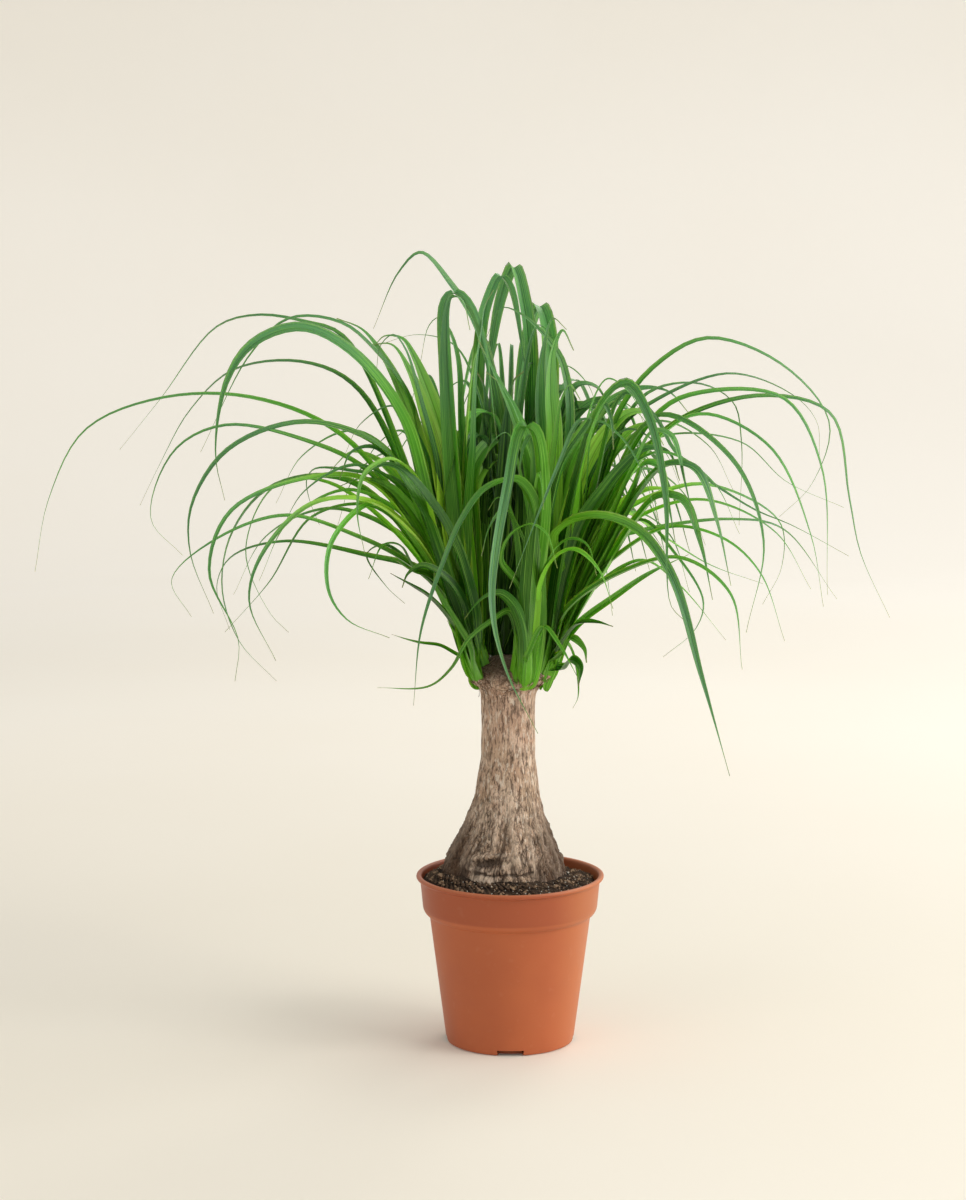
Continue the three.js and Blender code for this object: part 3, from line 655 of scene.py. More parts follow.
# %% The bark's relief
flakes = layered_cloud(on_bark * [1, 1, 0.3], 4.5, 3, 51)
flutes = layered_cloud(on_column * [1, 1, 0.12], 11, 2, 83)
lumps = layered_cloud(on_bark * [1, 1, 0.4], 17, 2, 71)
lumps = lumps + 0.7 * layered_cloud(on_bark * [1, 1, 0.22], 3.2, 2, 77)
collar = swell((z - 336) / 9) * layered_cloud(on_bark, 8, 4, 61)
relief = flakes * (0.3 + 0.2 * low_down) - groove * (0.35 + 1.2 * low_down) + 3.6 * root
relief = relief + (flutes * 1.2 + crests * 1.6 + lumps) * low_down
relief = relief + 1.7 * rib - 1.6 * crease - 4.2 * knot + 1.8 * knot_lip + 3.2 * collar
print("the relief goes from", round(float(relief.min()), 1), "to", round(float(relief.max()), 1), "mm")

radius = radius + relief
trunk_points = np.stack([trunk_middle(z) + radius * np.cos(angle), radius * np.sin(angle), z], -1)
# The groove mark is painted shade in the knot's hollow and the crease. In the furrows it is partly their
# bark's colour and partly painted shade.
dark = groove * (1 - 0.45 * rib) + 0.9 * knot + 0.8 * crease
pale = 1.2 * root + 0.4 * knot_lip + 0.25 * crests + 0.5 * rib
# The two poles of the tube come last, and nothing marks them.
poles = [0.0, 0.0]
marks = {"groove": np.append(np.clip(dark, 0, 1), poles), "pale": np.append(np.clip(pale, 0, 1), poles)}
trunk = new_piece("bark_trunk", *closed_tube(trunk_points), marks)
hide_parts("trunk")
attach(trunk, "root")

# %% [markdown]
# ## The bark
# The bark is grey-tan cork. Its furrows are nearly black, partly from painted shade, its plates are paler with
# a pink tone in the upper column, the foot is darker, and the fibrous top is brown. Painted shade darkens the
# knot's hollow, a crease and the flanks of the foot. The marks on the mesh place the furrows, and stretched
# noise adds the fine upright grain between them.


# %% Corky bark
def mark(tree, name):
    """The number that a piece's mesh keeps at each point under this name."""
    return add(tree, "ShaderNodeAttribute", attribute_name=name).outputs["Fac"]


bark, tree, shader = new_finish("corky_bark", 0.85, 0.25)
place = own_place(tree)
x, _, height = split(tree, place)
blotch, grain = speckle(tree, 45)
upright = add(tree, "ShaderNodeMapping", {"Vector": place, "Scale": (1, 1, 0.14)}).outputs[0]
streak = noise(tree, upright, 520.0, 5.0, Roughness=0.7)
chips = add(tree, "ShaderNodeTexVoronoi", {"Vector": upright, "Scale": 150.0}).outputs["Color"]
plate = stain(tree, colour("c2a287"), "e6cab2", blotch, 0.35, 0.65)
plate = stain(tree, plate, "c6a28c", height, 0.21, 0.32, 0.6)
# Larger patches: some are rubbed smooth and pinkish, some are weathered dark.
cloudy = noise(tree, place, 85.0, 3.0)
plate = stain(tree, plate, "c9a288", cloudy, 0.54, 0.68, 0.55)
plate = stain(tree, plate, "7b6350", cloudy, 0.46, 0.34, 0.5)
plate = stain(tree, plate, "9a7556", height, 0.24, 0.18, 0.3)
plate = stain(tree, plate, "cdb69c", chips, 0.2, 0.9, 0.35)
plate = stain(tree, plate, "4f3e32", streak, 0.50, 0.38, 0.75)
# Flecks, pale and dark.
longer = add(tree, "ShaderNodeMapping", {"Vector": place, "Scale": (1, 1, 0.3)}).outputs[0]
flecks = noise(tree, longer, 430.0, 4.0)
above = between(tree, height, 0.17, 0.235, 0.8, 1.0)
pale_fleck = reckon(tree, "MULTIPLY", between(tree, flecks, 0.57, 0.63, 0.0, 0.75), above)
plate = mix(tree, pale_fleck, plate, colour("e6d6c4"))
plate = stain(tree, plate, "443429", flecks, 0.43, 0.36, 0.6)
# Fine dark lines run where a long noise passes its middle value, and most of them are low down.
wavy = reckon(tree, "SUBTRACT", noise(tree, longer, 210.0, 3.0, Distortion=0.6), 0.5)
line = between(tree, reckon(tree, "ABSOLUTE", wavy), 0.0, 0.035, 1.0, 0.0)
line = reckon(tree, "MULTIPLY", line, between(tree, height, 0.3, 0.2, 0.12, 0.55))
plate = mix(tree, line, plate, colour("2a1e15"))
# Painted shade darkens the foot's flanks, left and right.
flank = between(tree, reckon(tree, "ABSOLUTE", reckon(tree, "ADD", x, 0.004)), 0.018, 0.044)
painted_flank_shade = reckon(tree, "MULTIPLY", flank, between(tree, height, 0.25, 0.19, 0.0, 0.88))
plate = mix(tree, painted_flank_shade, plate, colour("4a3220"))
plate = stain(tree, plate, "dccab2", streak, 0.56, 0.72, 0.5)
plate = mix(tree, reckon(tree, "MULTIPLY", mark(tree, "pale"), 0.8), plate, colour("dcc6b0"))
# Painted shade from the groove mark: the knot's hollow and the crease, and in part the furrows.
plate = stain(tree, plate, "35281f", mark(tree, "groove"), 0.1, 0.9, 0.85)
plate = stain(tree, plate, "5d4433", height, 0.332, 0.345, 0.6)
tree.links.new(plate, shader.inputs["Base Color"])
rise = reckon(tree, "ADD", reckon(tree, "MULTIPLY", flecks, 0.6), streak)
rise = reckon(tree, "SUBTRACT", rise, reckon(tree, "MULTIPLY", line, 0.4))
roughen(tree, shader, rise, 1.0, 0.002)
wear(trunk, bark)

# %% [markdown]
# ## Dry fibres
# Where old leaves rotted away, their tough veins stay on the collar as brown threads. Each is a
# three-sided tube that creeps over the bark and lifts off at its end, and all of them are one mesh.

# %% Threads over the collar
FIBRES = 420
FIBRE_STATIONS = 8
COLLAR_HALF = 34


def fibre_skins(count, stations):
    """Lines on the collar: the angle and height change evenly along a thread with a little wave, and the
    radius is the trunk's plus a lift that grows with the square of the way. The section is a triangle."""
    k = np.arange(count)[:, None]
    t = np.linspace(0, 1, stations)[None]
    length = 6 + 20 * draw(k, 3) ** 2
    slant = 2 * np.pi * draw(k, 4)
    z = 325 + 27 * draw(k, 2) + length * np.sin(slant) * t + np.sin(6 * t + 9 * draw(k, 5))
    turn = 2 * np.pi * draw(k, 1) + length * np.cos(slant) * t / COLLAR_HALF
    turn = turn + 0.04 * np.sin(7 * t + 20 * draw(k, 6))
    z = np.clip(z, 316, 356)
    radius = trunk_radius(turn, np.minimum(z, TRUNK_TOP - 1)) + 0.6 + 3.2 * draw(k, 7) ** 2 * t**2
    middle = np.stack([trunk_middle(z) + radius * np.cos(turn), radius * np.sin(turn), z], -1)
    thick = (0.26 * (1 - 0.6 * t) * (0.7 + 0.6 * draw(k, 8)))[..., None]
    outward = np.stack([np.cos(turn), np.sin(turn), np.zeros(turn.shape)], -1)
    upward = np.array([0.0, 0.0, 1.0])
    corners = [outward * np.cos(a) + upward * np.sin(a) for a in (0, 2.094, 4.189)]
    return np.stack([middle + thick * corner for corner in corners], 2)


threads = [closed_tube(skin) for skin in fibre_skins(FIBRES, FIBRE_STATIONS)]
tones = np.repeat(draw(np.arange(FIBRES), 9), len(threads[0][0]))
fibres = new_piece("collar_fibres", *joined(threads), {"tone": tones})
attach(fibres, "root")

dry, tree, shader = new_finish("dry_fibre", 0.9, 0.2)
_, grain = speckle(tree, 200)
straw = mix(tree, mark(tree, "tone"), colour("3a2a20"), colour("a98a70"))
tree.links.new(stain(tree, straw, "2c1f17", grain, 0.4, 0.6, 0.4), shader.inputs["Base Color"])
roughen(tree, shader, grain, 0.5, 0.0004)
wear(fibres, dry)

# %% [markdown]
# ## The soil
# The filling is a body of peat between the pot's wall and the trunk. Its section is a line, and that
# line is carried round the pot: up the wall, over the crumbly top that slopes to the right, and down
# into the hole in which the trunk stands. Crumbs, perlite and bark chips lie on it as one mesh of stones.

# %% The soil's level and its crumbs
SOIL_LEFT, SOIL_RIGHT = 148, 144
SOIL_MIDDLE = (SOIL_LEFT + SOIL_RIGHT) / 2
SOIL_MOUND = 13
SOIL_SIDES = 420
HOLE_TOP = 142
RIM_HEIGHT = 141


def pot_inside(z):
    """Inner radius of the pot at a height."""
    heights = [2, STEP_FOOT - 2, STEP_FOOT + 1, STEP_TOP, 151]
    return np.interp(z, heights, [56.2, 70.9, 72.2, 77.2, 79.7])


def soil_level(x):
    """Height of the soil: it falls from the left side of the pot to the right side."""
    return SOIL_LEFT + (SOIL_RIGHT - SOIL_LEFT) * (1 + np.clip(x / 80, -1, 1)) / 2


def mound(turn, share):
    """How far the soil rises by the trunk (share 1): most of all in front, where the angle's sine is -1."""
    return SOIL_MOUND * (0.35 + 0.65 * (1 - np.sin(turn)) / 2) * share**0.7


def crumble(flat):
    """How far the top rises above its level at each (x, y): slow heaps, and the folds of a finer cloud."""
    lie = np.append(flat, np.zeros((*flat.shape[:-1], 1)), -1)
    return 1.6 * layered_cloud(lie, 13, 3, 3) + 0.9 * np.abs(layered_cloud(lie, 3.4, 2, 9))


def level_ring(flat, z):
    """A ring of places at one height."""
    return np.append(flat, np.full((len(flat), 1), z), 1)


print("the soil lies", POT_HEIGHT - soil_level(np.array([-80, 80])), "mm below the rim, left and right")


# %% The soil's ring
angle = np.linspace(0, 2 * np.pi, SOIL_SIDES, endpoint=False)
around = np.stack([np.cos(angle), np.sin(angle)], -1)
hole_radius = trunk_radius(angle, np.full(SOIL_SIDES, float(HOLE_TOP))) - 4
hole = [trunk_middle(HOLE_TOP), 0] + hole_radius[:, None] * around
share = np.linspace(0, 1, 40)[:, None, None]
top_flat = around * (pot_inside(RIM_HEIGHT) - 0.7) * (1 - share) + hole * share
top_z = soil_level(top_flat[..., 0]) + crumble(top_flat) + mound(angle, share[..., 0])
soil = new_piece("peat_soil", *closed_tube(np.concatenate([
    [level_ring(around * (pot_inside(z) - 0.9), z) for z in (8, 60, 112, 120)],
    np.append(top_flat, top_z[..., None], -1),
    [level_ring(hole * grow, z) for grow, z in [(1, 124), (0.8, 96), (0.5, 88)]],
])))
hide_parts("soil")
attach(soil, "root")


# %% Crumbs, perlite and chips
def stones(places, sizes, flatness, turns):
    """Eight-sided stones: an octahedron's corners, pushed about, flattened, turned and put in place."""
    corners = np.array([[1, 0, 0], [-1, 0, 0], [0, 1, 0], [0, -1, 0], [0, 0, 1], [0, 0, -1]], float)
    sides = np.array([[0, 2, 4], [2, 1, 4], [1, 3, 4], [3, 0, 4], [2, 0, 5], [1, 2, 5], [3, 1, 5], [0, 3, 5]])
    k = np.arange(len(places))
    pushed = corners[None] * (0.7 + 0.6 * np.stack([draw(k * 6 + c, 5) for c in range(6)], 1)[..., None])
    pushed[..., 2] *= flatness[:, None]
    cos, sin = np.cos(turns)[:, None], np.sin(turns)[:, None]
    x = pushed[..., 0] * cos - pushed[..., 1] * sin
    y = pushed[..., 0] * sin + pushed[..., 1] * cos
    z = pushed[..., 2] + 0.5 * np.sin(3 * turns)[:, None] * x
    points = np.stack([x, y, z], -1) * sizes[:, None, None] + places[:, None]
    sides = sides + len(corners) * k[:, None, None]
    return points.reshape(-1, 3), np.zeros((0, 4), int), sides.reshape(-1, 3)


def on_soil(count, salt):
    """Places on the soil between the trunk's foot and the wall, spread evenly over its width."""
    k = np.arange(count)
    turn = 2 * np.pi * draw(k, salt)
    share = draw(k, salt + 1)
    near = trunk_radius(turn, np.full(count, SOIL_MIDDLE)) + 1
    far = pot_inside(RIM_HEIGHT) - 2.5
    x = (trunk_middle(SOIL_MIDDLE) + near * np.cos(turn)) * (1 - share) + far * np.cos(turn) * share
    y = near * np.sin(turn) * (1 - share) + far * np.sin(turn) * share
    flat = np.stack([x, y], -1)
    return np.append(flat, (soil_level(x) + crumble(flat) + mound(turn, 1 - share))[:, None], 1)


# How many of each there are, their smallest and largest half width, and the salt of their draws.
COUNTS = {"crumbs": (1500, 0.9, 2.6, 3), "perlite": (220, 0.6, 1.5, 5), "chips": (260, 1.2, 3.4, 7)}
heaps, tones = [], []
for tone, (count, small, large, salt) in enumerate(COUNTS.values()):
    k = np.arange(count)
    sizes = small + (large - small) * draw(k, salt + 2) ** 2.5
    flatness = 0.5 + 0.4 * draw(k, salt + 3)
    heaps.append(stones(on_soil(count, salt), sizes, flatness, 6.28 * draw(k, salt + 4)))
    tones.append(np.full(6 * count, tone / 2))
grit = new_piece("soil_grit", *joined(heaps), {"tone": np.concatenate(tones)}, sharp=30)
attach(grit, "root")

# %% [markdown]
# ## The soil's finish
# Damp peat is nearly black with paler fibres, and it drinks the light. The loose stones are one mesh, so a
# mark on it says what each of them is: a crumb of peat, a grain of white perlite or a chip of bark.

# %% Peat and grit
peat, tree, shader = new_finish("damp_peat", 0.95, 0.2)
blotch, grain = speckle(tree, 90)
dark = stain(tree, colour("241b15"), "43352a", blotch, 0.35, 0.65)
tree.links.new(stain(tree, dark, "6e5a49", grain, 0.60, 0.72, 0.5), shader.inputs["Base Color"])
roughen(tree, shader, grain, 0.8, 0.002)
wear(soil, peat)

gritty, tree, shader = new_finish("grit", 0.9, 0.3)
_, grain = speckle(tree, 120)
tone = mark(tree, "tone")
crumb = mix(tree, grain, colour("2a2019"), colour("6a5441"))
white = mix(tree, grain, colour("a8a294"), colour("d6d1c4"))
chip = mix(tree, grain, colour("6b5440"), colour("a88c70"))
shown = mix(tree, reckon(tree, "GREATER_THAN", tone, 0.25), crumb, white)
shown = mix(tree, reckon(tree, "GREATER_THAN", tone, 0.75), shown, chip)
tree.links.new(shown, shader.inputs["Base Color"])
roughen(tree, shader, grain, 0.5, 0.001)
wear(grit, gritty)

# %% [markdown]
# ## The shoots
# A shoot is a fountain: each leaf clasps the short green core with a broad base, rises, arches over and
# ends in a thread. No rule would bend them as they grew, so the leaves that stand out go through a few listed
# places, the same as in the CAD source, and more leaves fill each shoot by a rule.

# %% Leaves of the left shoot
# Each leaf is its widest width and its places from the shoot to the tip, and where it needs them, how far its
# face is rolled near the root and at the tip, and its tone.
LEFT_LEAVES = [
    (18, [[-52, -4, 545], [-57, 0, 609], [-58, 4, 668], [-50, 6, 677], [-39, 8, 669], [-26, 12, 640],
     [-12, 20, 545]], (-25, -10), 0.6),
    (12, [[-43, 4, 494], [-44, 10, 566], [-47, 16, 620], [-56, 24, 646], [-64, 30, 654], [-73, 36, 646],
     [-81, 44, 611]], (-40, -20)),
    (14, [[-65, -8, 521], [-80, -12, 585], [-93, -14, 629], [-103, -16, 641], [-114, -18, 632],
     [-118, -22, 608]], (-60, -30)),
    (9, [[-150, -10, 552], [-227, -12, 585], [-308, -14, 585], [-375, -16, 557], [-408, -18, 496],
     [-421, -20, 432]]),
    (9, [[-148, 12, 637], [-185, 18, 651], [-227, 26, 656], [-263, 34, 645], [-316, 50, 579],
     [-354, 60, 533]]),
    (19, [[-96, -34, 570], [-141, -48, 629], [-182, -56, 649], [-222, -64, 636], [-244, -72, 605],
     [-254, -83, 542], [-246, -90, 503]], (-60, -30), 0.6),
    (10, [[-89, 2, 582], [-120, -6, 627], [-149, -10, 651], [-194, -15, 655], [-229, -20, 623],
     [-272, -30, 539]]),
    (9, [[-136, 24, 590], [-183, 37, 613], [-249, 53, 606], [-291, 66, 568], [-319, 79, 520],
     [-340, 90, 479]]),
    (9, [[-127, -10, 520], [-180, -22, 548], [-250, -37, 563], [-293, -48, 542], [-313, -61, 484],
     [-285, -70, 453]]),
    (12, [[-111, -36, 541], [-178, -54, 567], [-243, -71, 546], [-274, -85, 501], [-276, -95, 460],
     [-255, -110, 408]]),
    (10, [[-124, -15, 511], [-174, -35, 517], [-242, -73, 492], [-259, -100, 443], [-232, -133, 388],
     [-234, -150, 356]]),
    (9, [[-143, 2, 510], [-211, 15, 505], [-249, 27, 464], [-261, 38, 411], [-247, 49, 359],
     [-214, 60, 320]]),
    (6, [[-161, 14, 507], [-211, 32, 503], [-241, 61, 441], [-221, 90, 378], [-205, 100, 359]]),
    (11, [[-89, -25, 470], [-123, -44, 497], [-173, -67, 497], [-214, -95, 457], [-224, -114, 419],
     [-200, -140, 372]]),
    (7, [[-121, -8, 488], [-175, -22, 481], [-212, -42, 426], [-250, -60, 384]]),
    (8, [[-89, -18, 438], [-136, -33, 465], [-197, -56, 486], [-257, -79, 467], [-292, -96, 435],
     [-274, -110, 405]]),
    (9, [[-81, -2, 431], [-125, 13, 441], [-204, 43, 451], [-255, 63, 434], [-269, 74, 406],
     [-259, 90, 363]]),
    (13, [[-80, -45, 514], [-103, -63, 536], [-126, -78, 525], [-132, -98, 495], [-125, -120, 461]]),
    (10, [[-99, 2, 508], [-141, 23, 517], [-177, 41, 517], [-184, 47, 507], [-182, 57, 487],
     [-174, 70, 463]]),
    (9, [[-120, -36, 494], [-155, -63, 466], [-158, -88, 426], [-141, -106, 402], [-104, -130, 390]]),
    (9, [[-86, -22, 437], [-97, -40, 458], [-112, -60, 460], [-123, -90, 435]]),
    (6, [[-86, 2, 434], [-112, 18, 451], [-129, 28, 442], [-112, 48, 409], [-96, 60, 392]]),
    (13, [[-73, -18, 428], [-85, -28, 433], [-100, -45, 445]]),
    (11, [[-70, -32, 410], [-85, -44, 422], [-105, -60, 436]]),
    (6, [[-63, -22, 366], [-81, -30, 370], [-105, -40, 379]]),
]
print(len(LEFT_LEAVES), "leaves by hand")

# %% Leaves of the front shoot
FRONT_LEAVES = [
    (16, [[18, -62, 500], [3, -69, 519], [-21, -79, 513], [-42, -93, 487], [-57, -108, 454], [-77, -134, 396],
     [-83, -160, 337]], (0, 20), 0.4),
    (16, [[27, -64, 505], [19, -78, 563], [8, -83, 566], [-4, -94, 517], [-17, -119, 422], [-6, -134, 366],
     [22, -150, 311]], (-35, 0), 0.25),
    (8, [[44, -50, 530], [68, -56, 570], [58, -61, 568], [41, -75, 533], [21, -95, 487], [-2, -120, 431]],
     (20, 10)),
    (10, [[-8, -62, 448], [0, -74, 472], [16, -84, 482], [30, -93, 475], [39, -110, 447]], (0, 30)),
    (9, [[30, -56, 442], [42, -64, 462], [54, -72, 468], [66, -82, 463], [73, -100, 439]], (20, 40), 0.2),
    (11, [[16, -69, 368], [28, -79, 392], [43, -88, 375], [58, -100, 349]], (0, 10)),
    (16, [[-3, -48, 400], [-17, -54, 393], [-37, -62, 378], [-52, -70, 354], [-72, -77, 339],
     [-116, -90, 340]], (10, 30)),
]
print(len(FRONT_LEAVES), "leaves by hand")

# %% Leaves of the right shoot
RIGHT_LEAVES = [
    (15, [[50, 12, 500], [53, 20, 573], [50, 28, 600], [43, 37, 621], [14, 53, 653], [-8, 60, 661],
     [-22, 70, 632]], (-50, -20)),
    (10, [[97, 5, 571], [131, 9, 614], [175, 13, 636], [242, 18, 612], [285, 23, 560], [270, 27, 504],
     [242, 30, 475]]),
    (9, [[97, 8, 555], [125, 17, 578], [197, 43, 603], [257, 63, 582], [280, 74, 556], [283, 80, 526]]),
    (10, [[130, -12, 571], [163, -17, 589], [238, -29, 586], [271, -41, 527], [276, -60, 417]]),
    (10, [[110, 0, 525], [153, 0, 566], [225, 0, 586], [283, 0, 570], [301, 0, 495], [312, 0, 446],
     [339, 0, 388]]),
    (9, [[140, -22, 560], [171, -29, 572], [226, -48, 544], [259, -71, 472], [269, -90, 411]]),
    (10, [[129, -22, 570], [191, -52, 536], [217, -85, 468], [200, -120, 393]], (45, 30)),
    (9, [[100, -20, 590], [127, -26, 568], [145, -32, 538], [209, -45, 492], [245, -51, 477],
     [294, -60, 451]]),
    (5, [[115, 10, 537], [144, 21, 550], [209, 42, 541], [251, 60, 504], [306, 80, 478]]),
    (6, [[115, 14, 582], [165, 36, 595], [201, 55, 577], [211, 73, 539], [213, 110, 458]]),
    (8, [[79, -10, 468], [131, 7, 498], [177, 19, 505], [243, 38, 470], [247, 50, 427], [231, 60, 391]]),
    (8, [[80, 2, 453], [115, 16, 463], [200, 53, 470], [250, 74, 459], [305, 110, 389]]),
    (8, [[79, -18, 433], [136, -44, 474], [184, -65, 467], [215, -84, 439], [234, -110, 384]]),
    (16, [[60, -32, 520], [82, -59, 589], [100, -70, 602], [118, -82, 575], [131, -106, 512],
     [134, -144, 420], [144, -150, 409]], (50, 60), 0.5),
    (15, [[40, -44, 470], [68, -71, 487], [105, -94, 480], [135, -124, 444], [158, -177, 365],
     [178, -230, 291]], (40, 20)),
    (10, [[50, -30, 400], [91, -52, 433], [146, -74, 451], [188, -94, 423], [197, -120, 361]]),
    (10, [[60, -8, 383], [94, 9, 406], [125, 33, 423], [163, 60, 437]], (60, 60)),
    (7, [[80, 12, 492], [103, 22, 481], [181, 65, 428], [234, 90, 406]]),
    (7, [[115, -12, 477], [142, -22, 452], [169, -39, 409], [162, -48, 385], [133, -60, 362]]),
    (6, [[116, 10, 438], [151, 29, 415], [198, 60, 358]]),
    (6, [[75, -24, 565], [95, -36, 554], [113, -54, 526], [126, -80, 485]]),
    (11, [[46, -24, 371], [59, -36, 388], [76, -49, 391], [89, -60, 389]]),
    (12, [[46, -34, 363], [53, -42, 376], [64, -51, 368], [66, -60, 357]]),
    (12, [[46, -12, 344], [54, -36, 356], [61, -48, 351], [59, -60, 336]]),
]
print(len(RIGHT_LEAVES), "leaves by hand")

# %% Leaves of the back shoot
BACK_LEAVES = [
    (17, [[-8, 44, 545], [-20, 46, 612], [-34, 44, 652], [-53, 40, 682], [-80, 34, 711], [-100, 30, 693],
     [-122, 24, 644]], (-70, -30), 0.3),
    (17, [[-28, 42, 530], [-26, 48, 640], [-20, 52, 668], [-9, 57, 690], [0, 64, 680], [13, 80, 612],
     [21, 98, 567]], (30, 0), 0.6),
    (19, [[14, 60, 500], [18, 88, 623], [14, 97, 660], [4, 104, 697], [-8, 118, 668], [-20, 146, 590],
     [-26, 170, 510]], (30, 20), 0.4),
    (20, [[26, 50, 500], [37, 72, 606], [33, 104, 652], [27, 118, 661], [16, 136, 630], [6, 164, 555],
     [2, 186, 480]], (-30, 10), 0.7),
    (6, [[-30, 34, 590], [-50, 46, 628], [-83, 60, 637], [-122, 74, 626]], (-60, -30)),
    (11, [[-14, 60, 520], [-16, 96, 600], [-26, 140, 630], [-40, 190, 590], [-52, 220, 500]], (0, 0)),
    (10, [[22, 62, 500], [40, 100, 570], [62, 150, 590], [84, 205, 540], [96, 240, 440]], (0, 10)),
]
print(len(BACK_LEAVES), "leaves by hand")

# %% Broad leaves of the left heart
# These have a width, a roll, how young they are, their tone and their places.
LEFT_HEARTS = [
    (17, (-70, -40), 0.75, 0.7, [[-43, -14, 379], [-52, -10, 423], [-60, -7, 468], [-71, -4, 507],
     [-82, -1, 547], [-94, 2, 582], [-110, 5, 616], [-131, 8, 644], [-154, 10, 654]]),
    (18, (-75, -45), 0.95, 0.9, [[-41, -16, 388], [-48, -12, 432], [-52, -10, 468], [-59, -7, 503],
     [-66, -4, 538], [-77, -1, 575], [-89, 2, 607], [-105, 4, 631], [-124, 6, 631]]),
    (17, (-70, -40), 1.0, 1.0, [[-40, -4, 395], [-44, -1, 440], [-49, 2, 484], [-55, 6, 529], [-64, 8, 564],
     [-75, 11, 595], [-86, 13, 621], [-96, 14, 636], [-112, 15, 638], [-121, 16, 629]]),
    (17, (-75, -50), 0.3, 0.4, [[-40, -20, 371], [-42, -18, 406], [-45, -15, 451], [-48, -13, 495],
     [-52, -10, 539], [-55, -8, 583], [-57, -5, 627], [-56, -3, 662], [-52, -2, 674], [-43, -2, 671],
     [-36, 0, 644]]),
    (15, (-75, -60), 0.2, 0.1, [[-38, -16, 370], [-40, -13, 406], [-38, -8, 450], [-36, -4, 494],
     [-33, 0, 538], [-32, 4, 582], [-30, 8, 617], [-26, 10, 644], [-23, 12, 665], [-15, 14, 679]]),
    (14, (-70, -40), 0.55, 0.5, [[-46, -24, 389], [-55, -22, 420], [-63, -20, 442], [-76, -17, 469],
     [-91, -15, 491], [-108, -13, 507], [-131, -12, 514], [-151, -10, 507]]),
    (13, (-65, -30), 0.6, 0.5, [[-41, -10, 387], [-47, -6, 414], [-57, -2, 444], [-73, 3, 475], [-94, 8, 503],
     [-116, 13, 526], [-141, 16, 535], [-161, 20, 518]]),
    (16, (-70, -30), 0.2, 0.2, [[-43, -30, 381], [-54, -31, 413], [-66, -33, 453], [-76, -35, 484],
     [-89, -36, 508], [-104, -37, 531], [-121, -38, 544], [-139, -39, 540], [-150, -40, 516]]),
    (13, (-70, -50), 0.9, 0.6, [[-36, 0, 395], [-39, 4, 439], [-40, 7, 484], [-41, 10, 519], [-40, 12, 546],
     [-38, 14, 568], [-35, 17, 599], [-29, 19, 626], [-18, 20, 634]]),
    (15, (-60, -45), 0.1, 0.1, [[-31, -40, 374], [-33, -42, 399], [-39, -45, 426], [-47, -47, 453],
     [-59, -50, 480], [-76, -53, 505], [-93, -55, 524], [-108, -57, 531], [-122, -58, 526],
     [-133, -60, 512]]),
    (15, (-40, -20), 0.2, 0.2, [[-36, -40, 369], [-45, -43, 385], [-54, -46, 400], [-62, -49, 414],
     [-67, -52, 427], [-67, -54, 438]]),
    (14, (-70, -40), 0.15, 0.1, [[-33, -44, 373], [-38, -46, 389], [-43, -49, 409], [-52, -51, 425],
     [-64, -53, 436], [-78, -55, 442], [-90, -56, 435], [-95, -58, 423]]),
]
print(len(LEFT_HEARTS), "broad leaves")

# %% Broad leaves of the right heart
RIGHT_HEARTS = [
    (18, (75, 45), 1.0, 1.0, [[37, -12, 370], [40, -9, 405], [45, -6, 441], [53, -3, 476], [62, 0, 507],
     [74, 2, 536], [88, 4, 557], [106, 6, 571], [126, 8, 569], [140, 10, 546]]),
    (17, (75, 45), 0.95, 0.9, [[38, -8, 378], [42, -3, 413], [50, 2, 449], [62, 6, 479], [76, 11, 509],
     [91, 15, 535], [107, 19, 554], [125, 21, 559], [137, 24, 540]]),
    (16, (70, 40), 0.5, 0.5, [[35, -6, 387], [36, 0, 431], [40, 5, 475], [47, 10, 510], [57, 13, 537],
     [71, 16, 559], [90, 20, 579], [116, 23, 591], [141, 26, 588], [161, 30, 567]]),
    (15, (75, 50), 0.25, 0.2, [[38, -20, 371], [44, -21, 407], [52, -23, 443], [65, -25, 479], [81, -26, 503],
     [98, -27, 525], [118, -28, 542], [138, -29, 539], [148, -30, 514]]),
    (19, (85, 70), 0.4, 0.6, [[34, -2, 386], [33, 1, 431], [35, 5, 475], [37, 8, 519], [38, 11, 555],
     [36, 14, 590], [38, 17, 626], [46, 18, 643], [56, 20, 625]]),
    (15, (60, 60), 0.2, 0.1, [[36, -26, 381], [40, -29, 417], [46, -33, 453], [52, -36, 489], [59, -40, 524],
     [67, -43, 555], [75, -45, 575], [81, -46, 582], [87, -47, 569], [89, -50, 543]]),
    (12, (70, 30), 0.9, 0.8, [[40, -14, 379], [47, -11, 410], [59, -8, 441], [76, -5, 467], [97, -3, 489],
     [122, 0, 503], [147, 2, 500], [163, 4, 484]]),
    (16, (75, 60), 0.3, 0.2, [[35, 8, 403], [32, 12, 447], [31, 15, 492], [29, 19, 536], [26, 23, 581],
     [29, 26, 625], [38, 29, 653], [50, 30, 643]]),
]
print(len(RIGHT_HEARTS), "broad leaves")

